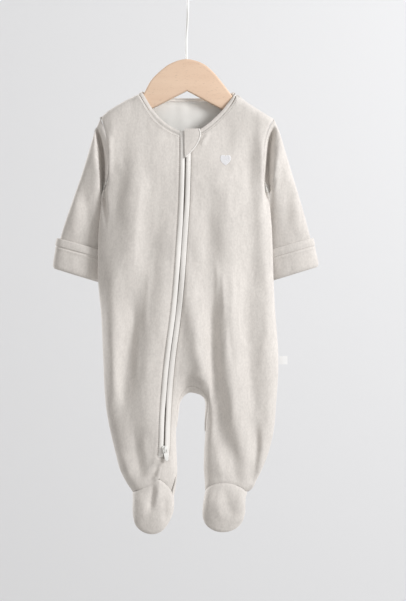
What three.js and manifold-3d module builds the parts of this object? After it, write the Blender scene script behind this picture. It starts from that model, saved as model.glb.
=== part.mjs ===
// A footed baby sleepsuit with a two way zip, hanging on a flat wooden hanger with a wire hook.
// Millimetres, +Z up. The front faces -Y, and the wearer's right side is at -X.
// The origin is the top of the inside of the hook, where it rests on a rail.

import * as THREE from 'three';
import { mergeVertices } from 'three/addons/utils/BufferGeometryUtils.js';
import Module from 'manifold-3d';

const wasm = await Module();
wasm.setup();

// Driving sizes
const WALL = 1.8;              // one layer of cloth with its pile
const SEAM = 0.3;              // clear space between two pieces that are sewn together
const HALF_SEAM = SEAM / 2;
const FOOT_SEAM = 0.35;        // half the space where a foot's upper and sole meet
const UNDERARM_Z = -238.8;     // the foot of both armholes
const CROTCH_Z = -505;         // the level where the two legs part
const ARMHOLE_OPEN = 11;       // half the front to back width of an armhole
const GUSSET_HALF = 7.5;       // half the front to back width of the crotch gusset
const GUSSET_END_Z = -540;     // where the gusset runs out, down the inner leg seams
const NARROW = 2.3;            // an edge with less depth than this closes like a seam
const GUSSET_DROP = 0.6;       // how far the gusset lies clear of the panels that it joins
const SHOULDER_ROUND = 9;      // how far below the shoulder seam the cloth is fully round
const ZIP_HALF = 6.9;          // from the zip's middle to the edge of the cloth beside it
const ZIP_END_Z = -574;        // the lower end of the zip
const ZIP_CLOSED_Z = -578;     // below this the two front pieces are sewn together
const FACING_INNER = 0.9;      // from the zip's middle to the inner edge of each facing strip
const FACING_RISE = 1.3;       // how far each facing strip stands proud of the cloth
const FACING_WALL = 1.8;
const TAPE_HALF = 5.6;           // half the tape's width
const TAPE_WALL = 1;
const TAPE_DEPTH = 2.1;        // from the cloth's outer face back to the tape's outer face
const BINDING_WIDTH = 4.6;
const BINDING_WALL = 2;
const CUFF_WALL = 1.6;
const HANGER_HALF = 4.8;       // half the thickness of the wood
const WIRE_RADIUS = 1.5;
const HOOK_RADIUS = 16;        // to the middle of the wire

const COLOURS = {
  velour: 0xd3cfc8, strip: 0xe2ded8, tape: 0xcfcac2, plastic: 0xeeeeec, wood: 0xe6ccb1, wire: 0xf2f4f2,
  label: 0xf4f4f4,
};

// Small tools for tables and curves

function table(columns, rows) {
  return rows.map((row) => Object.fromEntries(columns.map((name, i) => [name, row[i]])));
}

function clamp01(t) {
  return Math.min(1, Math.max(0, t));
}

function smooth(t) {
  const k = clamp01(t);
  return k * k * (3 - 2 * k);
}

function mix(a, b, t) {
  return a + (b - a) * t;
}

// A smooth curve through a table's points, with no overshoot between them.
function curveOf(rows, from, to) {
  const pts = rows.map((row) => [row[from], row[to]]).sort((a, b) => a[0] - b[0]);
  const slope = pts.slice(1).map((p, i) => (p[1] - pts[i][1]) / (p[0] - pts[i][0]));
  const tangent = pts.map((p, i) => {
    if (i === 0) return slope[0];
    if (i === pts.length - 1) return slope[i - 1];
    if (slope[i - 1] * slope[i] <= 0) return 0;
    return (2 * slope[i - 1] * slope[i]) / (slope[i - 1] + slope[i]);
  });
  return (value) => {
    const last = pts.length - 1;
    if (value <= pts[0][0]) return pts[0][1];
    if (value >= pts[last][0]) return pts[last][1];
    const i = pts.findIndex((p) => p[0] > value) - 1;
    const h = pts[i + 1][0] - pts[i][0];
    const t = (value - pts[i][0]) / h;
    const t2 = t * t;
    const t3 = t2 * t;
    return (2 * t3 - 3 * t2 + 1) * pts[i][1] + (t3 - 2 * t2 + t) * h * tangent[i]
      + (3 * t2 - 2 * t3) * pts[i + 1][1] + (t3 - t2) * h * tangent[i + 1];
  };
}

// The garment's sizes, a row for each level

// The outer edges of the body and legs, seen from the front.
const SIDES = table(['z', 'right', 'left'], [
  [-110, -109, 109],
  [-152, -107.5, 108.6],
  [-165, -103, 101.5],
  [-185, -98.5, 96.4],
  [-213.8, -97.6, 96],
  [-228, -98.6, 96.2],
  [-238.8, -100.9, 97.5],
  [-250, -105.6, 101.9],
  [-268.8, -108.8, 105.2],
  [-293.8, -111.2, 106.7],
  [-316.2, -111.9, 107.5],
  [-355, -112, 108.5],
  [-378.8, -109.4, 109.6],
  [-403.8, -106.9, 111.2],
  [-428.8, -106.2, 113.8],
  [-466.2, -104.4, 115],
  [-491.2, -103.8, 113],
  [-516.2, -101.2, 111.2],
  [-535, -98, 110],
  [-566.2, -90.6, 103.4],
  [-595, -82.9, 92.1],
  [-608, -75.5, 85],
  [-616.2, -69.4, 77.5],
  [-620, -67.5, 72.5],
]);

// Guide lines down the front: the zip's middle, and the two lines that become the inner leg seams.
const GUIDES = table(['z', 'zip', 'innerRight', 'innerLeft'], [
  [-110, -1.9, 22, 62.5],
  [-197.5, -1.9, 18, 56],
  [-253.8, -3.1, 12, 49],
  [-303.8, -6.2, 7, 43],
  [-353.8, -9.6, 1.5, 38],
  [-403.8, -14.6, -4, 33],
  [-453.8, -21.5, -9, 29],
  [-503.6, -25.9, -11.4, 26.8],
  [-532.5, -27.4, -13.2, 23.4],
  [-561.2, -28.3, -13.4, 21.4],
  [-587.5, -30.5, -11.6, 20.4],
  [-601, -34, -12.2, 21.6],
  [-620, -34, -15.8, 22.4],
]);

// Half depths of the body in front and behind, and how far the rounding at its edges reaches.
const DEPTHS = table(['z', 'front', 'back', 'sideReach', 'backReach', 'innerReach'], [
  [-77, 9, 9, 20, 20, 30],
  [-140, 9.3, 9.2, 20, 20, 30],
  [-165, 10.6, 10.2, 24, 24, 30],
  [-185, 12.5, 11, 45, 55, 30],
  [-210, 15, 12.5, 65, 85, 30],
  [-250, 17.5, 13, 68, 90, 30],
  [-300, 19.5, 13.5, 70, 90, 30],
  [-360, 21, 15, 70, 85, 30],
  [-430, 22, 19, 66, 75, 32],
  [-480, 21, 19, 58, 60, 34],
  [-520, 19.5, 18.5, 46, 46, 34],
  [-560, 17.5, 17.5, 38, 38, 30],
  [-600, 15.5, 16, 30, 30, 26],
  [-630, 15, 16, 28, 28, 25],
]);

// The top edge of the front, from one shoulder tip over the neck seam to the other.
const FRONT_TOP = table(['x', 'z'], [
  [-110, -152.6], [-98.1, -141.4], [-76.2, -128.8], [-60.7, -120.2], [-56.9, -127], [-48.2, -142.8],
  [-39.6, -154.2], [-28.2, -163.8], [-17.6, -170], [-8.8, -173], [0, -173.6], [8.5, -173.4], [18.6, -170.5],
  [30.1, -162.9], [43.5, -150.4], [52.1, -140.9], [59.8, -128.4], [62.5, -121.5], [72.5, -129.5],
  [92.5, -142.3], [110, -153.2],
]);

// The top edge of the back.
const BACK_TOP = table(['x', 'z'], [
  [-110, -152.6], [-98.1, -141.4], [-76.2, -128.8], [-60.7, -120.2], [-52, -125], [-36, -129.4], [0, -131],
  [38, -129.6], [54, -125.6], [62.5, -121.5], [72.5, -129.5], [92.5, -142.3], [110, -153.2],
]);

// The shoulder seams, carried on over the neck so that the rounding over the hanger fades out there.
const SHOULDER = table(['x', 'z'], [
  [-110, -152.6], [-98.1, -141.4], [-76.2, -128.8], [-60.7, -120.2], [-40, -106], [0, -84],
  [42, -106], [62.5, -121.5], [72.5, -129.5], [92.5, -142.3], [110, -153.2],
]);

// The crotch seam of the front, an arch over the gap between the legs.
const ARCH = table(['x', 'z'], [
  [-11.4, -503.6], [-10.6, -496.5], [-7.9, -490.6], [-0.5, -486.5], [6.8, -486], [20, -492.2],
  [25.2, -499.5], [26.8, -507],
]);

const ARCH_FROM = ARCH[0].x;
const ARCH_TO = ARCH[ARCH.length - 1].x;

// The lower edge of each leg: the seams of the foot's upper in front and of its sole behind.
const FOOT_SEAMS = {
  right: {
    front: table(['x', 'z'], [[-70, -619], [-48.5, -610], [-34, -601.5], [-23, -609.5], [-15.6, -622]]),
    back: table(['x', 'z'], [[-70, -619], [-42, -628], [-15.6, -622]]),
  },
  left: {
    front: table(['x', 'z'], [[22.4, -617], [27, -610.5], [37.5, -607], [50.5, -606.2], [66, -611], [74, -618.5]]),
    back: table(['x', 'z'], [[22.4, -617], [47, -628], [74, -618.5]]),
  },
};

// The outline of each foot, from one side of the ankle round the toe to the other, towards +X.
const FOOT_RIMS = {
  right: table(['x', 'y', 'z'], [
    [-67.6, -1, -624], [-68, -6, -648], [-64.4, -10, -660], [-53, -13, -669.4], [-40, -13.5, -671],
    [-24, -12, -663.5], [-17, -8, -648.5], [-15.7, -2, -628],
  ]),
  left: table(['x', 'y', 'z'], [
    [21.8, -1, -622], [18.4, -7, -648.5], [21, -11, -660.5], [33, -13, -667.6], [48, -14, -669.5], [63.5, -12, -664.3],
    [72, -7, -652], [72.8, -2, -627],
  ]),
};

// Each sleeve's outer line and inner line, ring by ring, with its half depth.
const SLEEVES = {
  right: table(['t', 'outX', 'outZ', 'inX', 'inZ', 'outY', 'inY', 'depth'], [
    [0, -107.5, -152, -100.9, -238.8, 0, 0, 11],
    [0.08, -111.5, -158.5, -104, -243.5, 0.5, 3.5, 12],
    [0.16, -115.5, -167.5, -104.8, -249, 1, 8.5, 13],
    [0.27, -121.3, -186, -105.5, -257.5, 3, 12, 13],
    [0.38, -128, -208.8, -104, -267.5, 5, 15.5, 13],
    [0.52, -137.5, -236, -102, -280.5, 8, 17.5, 12.5],
    [0.68, -149, -267.5, -102.5, -297, 11, 18.5, 12],
    [0.84, -160.6, -301.5, -99.2, -318.5, 14, 19.5, 11],
    [1, -167, -336.3, -108.6, -354, 15, 19.5, 10.5],
  ]),
  left: table(['t', 'outX', 'outZ', 'inX', 'inZ', 'outY', 'inY', 'depth'], [
    [0, 108.6, -152, 97.5, -238.8, 0, 0, 11],
    [0.08, 112.6, -160, 101.6, -243, 0.5, 4, 12],
    [0.16, 116.8, -171, 102.8, -248.5, 1, 8.5, 13],
    [0.27, 122.6, -190, 102.4, -257.5, 3, 12, 13],
    [0.38, 129.6, -213, 101.5, -267.5, 5, 15.5, 13],
    [0.52, 138.4, -241, 99.5, -280.5, 8, 17.5, 12.5],
    [0.68, 147.6, -271, 99.5, -297, 11, 18.5, 12],
    [0.84, 155.6, -301.5, 96, -318.5, 14, 19.5, 11],
    [1, 163.6, -334.3, 105.6, -352, 15, 19.5, 10.5],
  ]),
};
const SLEEVE_RINGS = [0, 0.035, 0.075, 0.115, 0.16, 0.22, 0.31, 0.43, 0.56, 0.7, 0.84, 1];
const CUFF_START = 0.84;       // the sleeve ring where the turned back edge of the cuff lies
const CUFF_LENGTH = 36;        // from there to the sleeve's last ring, along its outer line

// The wall of a turned back cuff: how far down from its free edge, and how far out from the sleeve.
const CUFF_PATH = table(['down', 'out'], [
  [0, 3.2], [4, 3.5], [9, 3.4], [11, 2.8], [22, 2.8], [34, 2.8], [38, 1.6], [39.6, -1], [38, -3.8], [33, -5],
  [26, -5],
]);

// The largest folds: three places on each, its width (one sigma) and how far it stands out or in.
const FOLD_COLUMNS = ['x1', 'z1', 'x2', 'z2', 'x3', 'z3', 'width', 'lift'];
const FRONT_FOLDS = table(FOLD_COLUMNS, [
  [-90, -340, -93, -430, -86, -520, 7, 4.5],
  [-64, -385, -71, -454, -84, -522, 8, -7],
  [-66, -540, -61, -568, -56, -600, 7, -4],
  [-46, -400, -47, -470, -45, -545, 9, 3.5],
  [0, -345, 14, -436, 35, -545, 8, 5],
  [30, -365, 34, -450, 48, -575, 8, -7],
  [47, -370, 52, -470, 66, -565, 8, 5],
  [74, -330, 83, -450, 88, -565, 8, -6],
  [-62, -225, -62, -285, -64, -345, 9, 3],
  [-41, -215, -42, -275, -40, -340, 9, -3.5],
  [-25, -290, -25, -350, -33, -430, 8, 3],
  [28, -245, 29, -305, 31, -350, 9, -3.5],
  [77, -165, 81, -260, 83, -355, 8, -4.5],
  [94, -175, 93, -260, 96, -330, 5, 2.5],
  [-89, -158, -90, -185, -91, -215, 5, 2.5],
  [-81, -180, -82, -235, -84, -295, 6, -4],
  [-72, -190, -72, -240, -74, -300, 6, 2.5],
  [53, -195, 52, -250, 53, -320, 10, 2.5],
]);
const BACK_FOLDS = table(FOLD_COLUMNS, [
  [-60, -190, -63, -280, -60, -380, 9, -4],
  [-36, -210, -34, -300, -38, -400, 9, 3],
  [-6, -230, -2, -330, 0, -430, 9, -3.5],
  [26, -200, 27, -300, 22, -410, 9, 3],
  [60, -190, 62, -300, 68, -420, 9, -4.5],
  [-72, -390, -66, -470, -58, -560, 9, -5],
  [-44, -420, -42, -500, -40, -580, 9, 3],
  [44, -400, 50, -480, 52, -570, 9, -5],
  [76, -400, 80, -480, 74, -570, 8, 3.5],
]);

const side = { right: curveOf(SIDES, 'z', 'right'), left: curveOf(SIDES, 'z', 'left') };
const guide = {
  zip: curveOf(GUIDES, 'z', 'zip'),
  innerRight: curveOf(GUIDES, 'z', 'innerRight'),
  innerLeft: curveOf(GUIDES, 'z', 'innerLeft'),
};
const depthOf = {
  front: curveOf(DEPTHS, 'z', 'front'), back: curveOf(DEPTHS, 'z', 'back'), inner: curveOf(DEPTHS, 'z', 'innerReach'),
};
const reachOf = { front: curveOf(DEPTHS, 'z', 'sideReach'), back: curveOf(DEPTHS, 'z', 'backReach') };
const topOf = { front: curveOf(FRONT_TOP, 'x', 'z'), back: curveOf(BACK_TOP, 'x', 'z') };
const shoulderOf = curveOf(SHOULDER, 'x', 'z');
const archOf = curveOf(ARCH, 'x', 'z');
const footSeamOf = {
  right: { front: curveOf(FOOT_SEAMS.right.front, 'x', 'z'), back: curveOf(FOOT_SEAMS.right.back, 'x', 'z') },
  left: { front: curveOf(FOOT_SEAMS.left.front, 'x', 'z'), back: curveOf(FOOT_SEAMS.left.back, 'x', 'z') },
};
const foldsOf = { front: FRONT_FOLDS.map(foldPath), back: BACK_FOLDS.map(foldPath) };

function foldPath(fold) {
  const places = table(['z', 'x'], [[fold.z1, fold.x1], [fold.z2, fold.x2], [fold.z3, fold.x3]]);
  return { ...fold, at: curveOf(places, 'z', 'x') };
}

// The body's surface

function foldLift(face, x, z) {
  const fade = 34;
  let lift = 0;
  for (const fold of foldsOf[face]) {
    const across = (x - fold.at(z)) / fold.width;
    const along = smooth((fold.z1 + fade / 2 - z) / fade) * smooth((z - fold.z3 + fade / 2) / fade);
    lift += fold.lift * along * Math.exp(-0.5 * across * across);
  }
  return lift;
}

// How far a point of the front view is from the gap between the legs.
const GAP_LINE = [
  ...GUIDES.filter((row) => row.z < CROTCH_Z).map((row) => [row.innerRight, row.z]).reverse(),
  ...ARCH.map((row) => [row.x, row.z]),
  ...GUIDES.filter((row) => row.z < CROTCH_Z).map((row) => [row.innerLeft, row.z]),
];

function gapDistance(x, z) {
  let nearest = Infinity;
  for (let i = 1; i < GAP_LINE.length; i += 1) {
    const [ax, az] = GAP_LINE[i - 1];
    const [bx, bz] = GAP_LINE[i];
    const length = (bx - ax) ** 2 + (bz - az) ** 2;
    const t = clamp01(((x - ax) * (bx - ax) + (z - az) * (bz - az)) / length);
    nearest = Math.min(nearest, Math.hypot(x - mix(ax, bx, t), z - mix(az, bz, t)));
  }
  return nearest;
}

// Round at an edge, flat away from it.
function rounding(distance, reach, power) {
  return (1 - (1 - clamp01(distance / reach)) ** 2.4) ** power;
}

function armholeSpan(z) {
  return clamp01((-152 - z) / (-152 - UNDERARM_Z));
}

function armholeHalf(z) {
  return ARMHOLE_OPEN * Math.sin(Math.PI * armholeSpan(z)) ** 0.7;
}

// Beside an open armhole the cloth bends over a shorter way, and least of all at the hanger's arms.
function openReach(z) {
  return mix(24, 60, smooth((-160 - z) / 60));
}

// Half the gusset's width, which runs out a little way down the inner leg seams.
function gussetHalf(z) {
  return GUSSET_HALF * smooth((z - GUSSET_END_Z) / (CROTCH_Z - GUSSET_END_Z));
}

// Half depth of the body at a place in the front view, for its front or its back.
function bodyDepth(face, x, z) {
  const open = smooth(Math.sin(Math.PI * armholeSpan(z)) * 1.6);
  const power = mix(0.5, 0.95, open);
  const reach = mix(reachOf[face](z), openReach(z), open);
  const right = rounding(x - side.right(z), reach, power);
  const left = rounding(side.left(z) - x, reach, power);
  const gap = gapDistance(x, z);
  const inner = rounding(gap, depthOf.inner(z), 0.5);
  const gusset = gussetHalf(z);
  const below = clamp01((shoulderOf(x) - z) / SHOULDER_ROUND);
  const shoulder = Math.sqrt(1 - (1 - below) ** 2);
  const round = right * left * inner * shoulder;
  const edges = armholeHalf(z) * (2 - right - left) + gusset * (1 - inner);
  const fade = smooth((x - side.right(z)) / 16) * smooth((side.left(z) - x) / 16) * smooth(gap / 16);
  return depthOf[face](z) * round + edges * Math.min(1, below * 3) + foldLift(face, x, z) * fade * shoulder;
}

function frontPoint(x, z, proud = 0) {
  return new THREE.Vector3(x, -bodyDepth('front', x, z) - proud, z);
}

function backPoint(x, z, proud = 0) {
  return new THREE.Vector3(x, bodyDepth('back', x, z) + proud, z);
}

// Columns across the body and rows down it

const NECK_COLUMN = 0.4675;    // the column that meets the neck's corner

// Where the columns lie between one guide line and the next, from 0 to 1.
const COLUMNS = {
  right: [0, 0.014, 0.05, 0.12, 0.22, 0.34, NECK_COLUMN, 0.5, 0.6, 0.73, 0.87, 1],
  strip: [0, 0.55, 0.9, 1],
  gap: [0, 0.25, 0.5, 0.75, 0.93, 1],
  left: [0, 0.03, 0.1, 0.21, 0.34, 0.48, 0.62, 0.76, 0.88, 0.95, 0.986, 1],
};
const ROWS = {
  armhole: [0, 0.02, 0.06, 0.13, 0.25, 0.42, 0.6, 0.78, 0.92, 1],
  body: Array.from({ length: 13 }, (_, i) => i / 12),
  leg: [0, 0.14, 0.29, 0.45, 0.61, 0.72, 0.76, 0.88, 1],
};
const UNDERARM_ROW = ROWS.armhole.length - 1;
const CROTCH_ROW = UNDERARM_ROW + ROWS.body.length - 1;
const LAST_ROW = CROTCH_ROW + ROWS.leg.length - 1;

function zipHalf(z) {
  return mix(ZIP_HALF, SEAM, smooth((ZIP_END_Z - z) / (ZIP_END_Z - ZIP_CLOSED_Z)));
}

// Each region of the body lies between two lines; which are its lines depends on the face.
function regionLines(region, face) {
  const cut = face === 'front' ? 1 : 0;
  return {
    right: [side.right, (z) => guide.zip(z) - cut * zipHalf(z)],
    strip: [(z) => guide.zip(z) + cut * zipHalf(z), guide.innerRight],
    gap: [guide.innerRight, guide.innerLeft],
    left: [guide.innerLeft, side.left],
  }[region];
}

// A column: its x at any level, and its top, crotch and bottom levels.
function makeColumn(region, w, face) {
  const [from, to] = regionLines(region, face);
  const xAt = (z) => mix(from(z), to(z), w);
  let top = -150;
  for (let i = 0; i < 40; i += 1) top = mix(top, topOf[face](xAt(top)), 0.6);
  const inGap = region === 'gap' && w > 0 && w < 1;
  const leg = region === 'left' || (region === 'gap' && w === 1) ? 'left' : 'right';
  const crotch = region === 'gap' ? archOf(mix(ARCH_FROM, ARCH_TO, w)) : archEnd(region, w);
  let bottom = -615;
  for (let i = 0; i < 40; i += 1) bottom = mix(bottom, footSeamOf[leg][face](xAt(bottom)), 0.6);
  return { region, w, face, xAt, top, crotch, bottom, inGap, leg };
}

// The crotch row runs level but meets the ends of the arch.
function archEnd(region, w) {
  if (region === 'left') return mix(-507, CROTCH_Z, smooth(w * 3));
  if (region === 'strip') return mix(CROTCH_Z, -503.6, w);
  return CROTCH_Z;
}

function columnLevel(column, row) {
  if (row <= UNDERARM_ROW) return mix(column.top, UNDERARM_Z, ROWS.armhole[row]);
  if (row <= CROTCH_ROW) return mix(UNDERARM_Z, column.crotch, ROWS.body[row - UNDERARM_ROW]);
  return mix(column.crotch, column.bottom, ROWS.leg[row - CROTCH_ROW]);
}

function columnsOf(face, regions) {
  const list = [];
  for (const region of regions) {
    for (const w of COLUMNS[region]) {
      const repeated = list.length > 0 && w === 0;
      if (!repeated) list.push(makeColumn(region, w, face));
    }
  }
  return list;
}

// Cloth as a thin closed wall

// A grid of points becomes a wall: its outer face runs through the points, and its inner face lies a wall's
// thickness behind them. Cells can be left out, and along a seam the wall is cut square to the direction that
// cutAt gives.
function clothWall({ points, wall, present = () => true, cutAt = () => null, outward }) {
  const rows = points.length;
  const cols = points[0].length;
  const flat = points.flat();
  const index = (i, j) => i * cols + j;
  const cells = [];
  for (let i = 0; i + 1 < rows; i += 1) {
    for (let j = 0; j + 1 < cols; j += 1) {
      if (present(i, j)) cells.push([index(i, j), index(i + 1, j), index(i + 1, j + 1), index(i, j + 1)]);
    }
  }
  return wallFromCells(flat, cells, wall, (v) => cutAt(Math.floor(v / cols), v % cols), outward);
}

// The same for a tube: the last column joins the first.
function clothTube({ points, wall, cutAt = () => null }) {
  const rows = points.length;
  const cols = points[0].length;
  const index = (i, j) => i * cols + (j % cols);
  const cells = [];
  for (let i = 0; i + 1 < rows; i += 1) {
    for (let j = 0; j < cols; j += 1) {
      cells.push([index(i, j), index(i + 1, j), index(i + 1, j + 1), index(i, j + 1)]);
    }
  }
  const centre = new THREE.Vector3();
  for (const p of points[0]) centre.addScaledVector(p, 1 / cols);
  const outward = (p) => p.clone().sub(centre);
  return wallFromCells(points.flat(), cells, wall, (v) => cutAt(Math.floor(v / cols), v % cols), outward);
}

function cellNormal(points, cell) {
  const [a, b, c, d] = cell.map((v) => points[v]);
  return c.clone().sub(a).cross(d.clone().sub(b));
}

function vertexNormals(points, cells, outward) {
  const normals = points.map(() => new THREE.Vector3());
  for (const cell of cells) {
    const normal = cellNormal(points, cell).normalize();
    for (const v of cell) normals[v].add(normal);
  }
  const firstRow = cells.slice(0, 8).map((cell) => cell[0]);
  const sign = Math.sign(firstRow.reduce((sum, v) => sum + normals[v].dot(outward(points[v])), 0));
  for (const normal of normals) if (normal.lengthSq() > 0) normal.normalize().multiplyScalar(sign);
  return { normals, sign };
}

function wallFromCells(points, cells, wall, cutAt, outward) {
  const { normals, sign } = vertexNormals(points, cells, outward);
  const outer = points.map((p) => p.clone());
  const inner = points.map((p, v) => {
    const normal = normals[v].clone();
    const cut = cutAt(v);
    if (cut) {
      normal.addScaledVector(cut, -normal.dot(cut)).normalize();
    }
    return p.clone().addScaledVector(normal, -wall);
  });
  const count = points.length;
  const all = [...outer, ...inner];
  const triangles = [];
  const edgeUse = new Map();
  for (const cell of cells) {
    const turn = sign > 0 ? cell : [...cell].reverse();
    const [a, b, c, d] = turn;
    const shortAC = outer[a].distanceTo(outer[c]) <= outer[b].distanceTo(outer[d]);
    const pair = shortAC ? [[a, b, c], [a, c, d]] : [[a, b, d], [b, c, d]];
    for (const [p, q, r] of pair) {
      triangles.push([p, q, r], [p + count, r + count, q + count]);
    }
    turn.forEach((v, k) => {
      const w = turn[(k + 1) % 4];
      const key = v < w ? `${v},${w}` : `${w},${v}`;
      if (edgeUse.has(key)) edgeUse.set(key, null);
      else edgeUse.set(key, [v, w]);
    });
  }
  for (const edge of edgeUse.values()) {
    if (edge) {
      const [v, w] = edge;
      triangles.push([v, v + count, w + count], [v, w + count, w]);
    }
  }
  return { geometry: toGeometry(all, triangles), points, normals };
}

function toGeometry(points, triangles) {
  const used = new Map();
  const position = [];
  const indices = [];
  for (const triangle of triangles) {
    for (const v of triangle) {
      if (!used.has(v)) {
        used.set(v, used.size);
        position.push(points[v].x, points[v].y, points[v].z);
      }
      indices.push(used.get(v));
    }
  }
  const geometry = new THREE.BufferGeometry();
  geometry.setAttribute('position', new THREE.Float32BufferAttribute(position, 3));
  geometry.setIndex(indices);
  geometry.computeVertexNormals();
  return geometry;
}

function makeMesh(name, geometry, colour, roughness = 0.95) {
  const material = new THREE.MeshStandardMaterial({ color: colour, roughness, metalness: 0 });
  const mesh = new THREE.Mesh(geometry, material);
  mesh.name = name;
  return mesh;
}

const FORWARD = new THREE.Vector3(0, -1, 0);
const BACKWARD = new THREE.Vector3(0, 1, 0);
const ACROSS = new THREE.Vector3(1, 0, 0);
const UPWARD = new THREE.Vector3(0, 0, 1);

// Front, back and gusset

function panelPoints(face, columns) {
  const rows = [];
  for (let i = 0; i <= LAST_ROW; i += 1) {
    rows.push(columns.map((column) => {
      const z = columnLevel(column, i);
      const x = column.xAt(z);
      const point = face === 'front' ? frontPoint(x, z) : backPoint(x, z);
      if (Math.abs(point.y) < HALF_SEAM) point.y = face === 'front' ? -HALF_SEAM : HALF_SEAM;
      return seamPlace(point, column, i);
    }));
  }
  return rows;
}

// The direction from the panel's arch into the gap between the legs.
function archNormal(w) {
  const step = 0.02;
  const x0 = mix(ARCH_FROM, ARCH_TO, Math.max(0, w - step));
  const x1 = mix(ARCH_FROM, ARCH_TO, Math.min(1, w + step));
  return new THREE.Vector3(archOf(x1) - archOf(x0), 0, x0 - x1).normalize();
}

function onOuterSide(column) {
  return (column.region === 'right' && column.w === 0) || (column.region === 'left' && column.w === 1);
}

function onInnerSide(column) {
  return (column.region === 'strip' && column.w === 1) || (column.region === 'left' && column.w === 0)
    || (column.region === 'gap' && column.w === 1);
}

function isNeck(column) {
  if (column.region === 'right') return column.w > NECK_COLUMN;
  if (column.region === 'left') return false;
  return !(column.region === 'gap' && column.w === 1);
}

// Seam edges step back by half the seam's space.
function seamPlace(point, column, row) {
  if (column.inGap && row === CROTCH_ROW) point.addScaledVector(archNormal(column.w), -HALF_SEAM);
  if (row === LAST_ROW) point.z += HALF_SEAM;
  if (row === 0 && isNeck(column)) point.z -= HALF_SEAM;
  if (onOuterSide(column) && row > 0 && row < UNDERARM_ROW) {
    point.x += column.region === 'right' ? HALF_SEAM : -HALF_SEAM;
  }
  return point;
}

// The direction that a panel's wall is cut square to at an edge.
function panelCut(column, point, row) {
  const closed = Math.abs(point.y) < NARROW;
  if (onOuterSide(column)) return row < UNDERARM_ROW && !closed ? ACROSS : FORWARD;
  if (row >= CROTCH_ROW && onInnerSide(column)) return closed ? FORWARD : ACROSS;
  if (row === CROTCH_ROW && column.inGap) return archNormal(column.w);
  if (row === 0) return isNeck(column) ? UPWARD : FORWARD;
  if (row === LAST_ROW) return UPWARD;
  const besideZip = column.face === 'front' && ((column.region === 'right' && column.w === 1)
    || (column.region === 'strip' && column.w === 0));
  return besideZip ? ACROSS : null;
}

function makePanel(name, face, regions) {
  const columns = columnsOf(face, regions);
  const points = panelPoints(face, columns);
  const present = (i, j) => !(i >= CROTCH_ROW && columns[j + 1].region === 'gap');
  const built = clothWall({
    points,
    wall: WALL,
    present,
    cutAt: (i, j) => panelCut(columns[j], points[i][j], i),
    outward: () => (face === 'front' ? FORWARD : BACKWARD),
  });
  return { mesh: makeMesh(name, built.geometry, COLOURS.velour), columns, points, normals: built.normals };
}

const frontRight = makePanel('front_right', 'front', ['right']);
const frontLeft = makePanel('front_left', 'front', ['strip', 'gap', 'left']);
const back = makePanel('back', 'back', ['right', 'strip', 'gap', 'left']);

// Sleeves

const sleeveOf = {};
for (const name of ['right', 'left']) {
  sleeveOf[name] = {};
  for (const key of ['outX', 'outZ', 'inX', 'inZ', 'outY', 'inY', 'depth']) {
    sleeveOf[name][key] = curveOf(SLEEVES[name], 't', key);
  }
}

// Past the last ring the lines run on straight.
function sleeveValue(name, key, t) {
  const value = sleeveOf[name][key];
  return t <= 1 ? value(t) : value(1) + (value(1) - value(0.98)) * ((t - 1) / 0.02);
}

// A point of a sleeve's ring: part is 0 at its outer line and 1 at its inner line, face is front or back,
// and out moves it away from the sleeve's middle.
function sleevePoint(name, t, part, face, out = 0) {
  const at = (line) => new THREE.Vector3(...['X', 'Y', 'Z'].map((axis) => sleeveValue(name, line + axis, t)));
  const outer = at('out');
  const inner = at('in');
  const along = inner.clone().sub(outer).normalize();
  outer.addScaledVector(along, -out);
  inner.addScaledVector(along, out);
  const cosine = 1 - 2 * part;
  const sine = Math.sqrt(Math.max(0, 1 - cosine * cosine)) ** 0.75;
  const point = outer.lerp(inner, part);
  point.y += (face === 'front' ? -1 : 1) * (sleeveValue(name, 'depth', t) + out) * sine;
  return point;
}

function ringParts(t) {
  const last = ROWS.armhole.length - 1;
  const even = (r) => (1 - Math.cos((Math.PI * r) / last)) / 2;
  return ROWS.armhole.map((part, r) => mix(part, even(r), smooth(t / 0.5)));
}

function armholePoint(name, face, row) {
  const panel = face === 'back' ? back : { right: frontRight, left: frontLeft }[name];
  const j = name === 'right' ? 0 : panel.columns.length - 1;
  const point = panel.points[row][j].clone();
  if (row === 0 || row === UNDERARM_ROW) point.y = 0;
  point.x += name === 'right' ? -SEAM : SEAM;
  return point;
}

// A sleeve's section as a loop: down the front from the outer line, and up the back.
function sleeveLoop(name, t) {
  const parts = ringParts(t);
  const blend = smooth(t / 0.14);
  const last = parts.length - 1;
  const loop = [];
  const add = (r, face) => {
    const formula = sleevePoint(name, t, parts[r], face);
    if (face === 'front') formula.y += valley(t) * Math.sin(Math.PI * parts[r]) ** 0.6;
    loop.push(armholePoint(name, face, r).lerp(formula, blend));
  };
  for (let r = 0; r <= last; r += 1) add(r, 'front');
  for (let r = last - 1; r > 0; r -= 1) add(r, 'back');
  return loop;
}

// The sleeve's cloth turns in beside the armhole seam before it comes forward again.
function valley(t) {
  return 8.5 * Math.exp(-(((t - 0.1) / 0.055) ** 2));
}

function makeSleeve(name) {
  const points = SLEEVE_RINGS.map((t) => sleeveLoop(name, t));
  const built = clothTube({
    points,
    wall: WALL,
    cutAt: (i) => (i <= 2 ? ACROSS : null),
  });
  return makeMesh(`sleeve_${name}`, built.geometry, COLOURS.velour);
}

function makeCuff(name) {
  const last = ROWS.armhole.length - 1;
  const points = CUFF_PATH.map((place) => {
    const t = CUFF_START + (1 - CUFF_START) * (place.down / CUFF_LENGTH);
    const parts = ringParts(1);
    const loop = [];
    for (let r = 0; r <= last; r += 1) loop.push(sleevePoint(name, t, parts[r], 'front', place.out));
    for (let r = last - 1; r > 0; r -= 1) loop.push(sleevePoint(name, t, parts[r], 'back', place.out));
    return loop;
  });
  const built = clothTube({ points, wall: CUFF_WALL });
  return makeMesh(`cuff_${name}`, built.geometry, COLOURS.velour);
}

// Gusset

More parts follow.
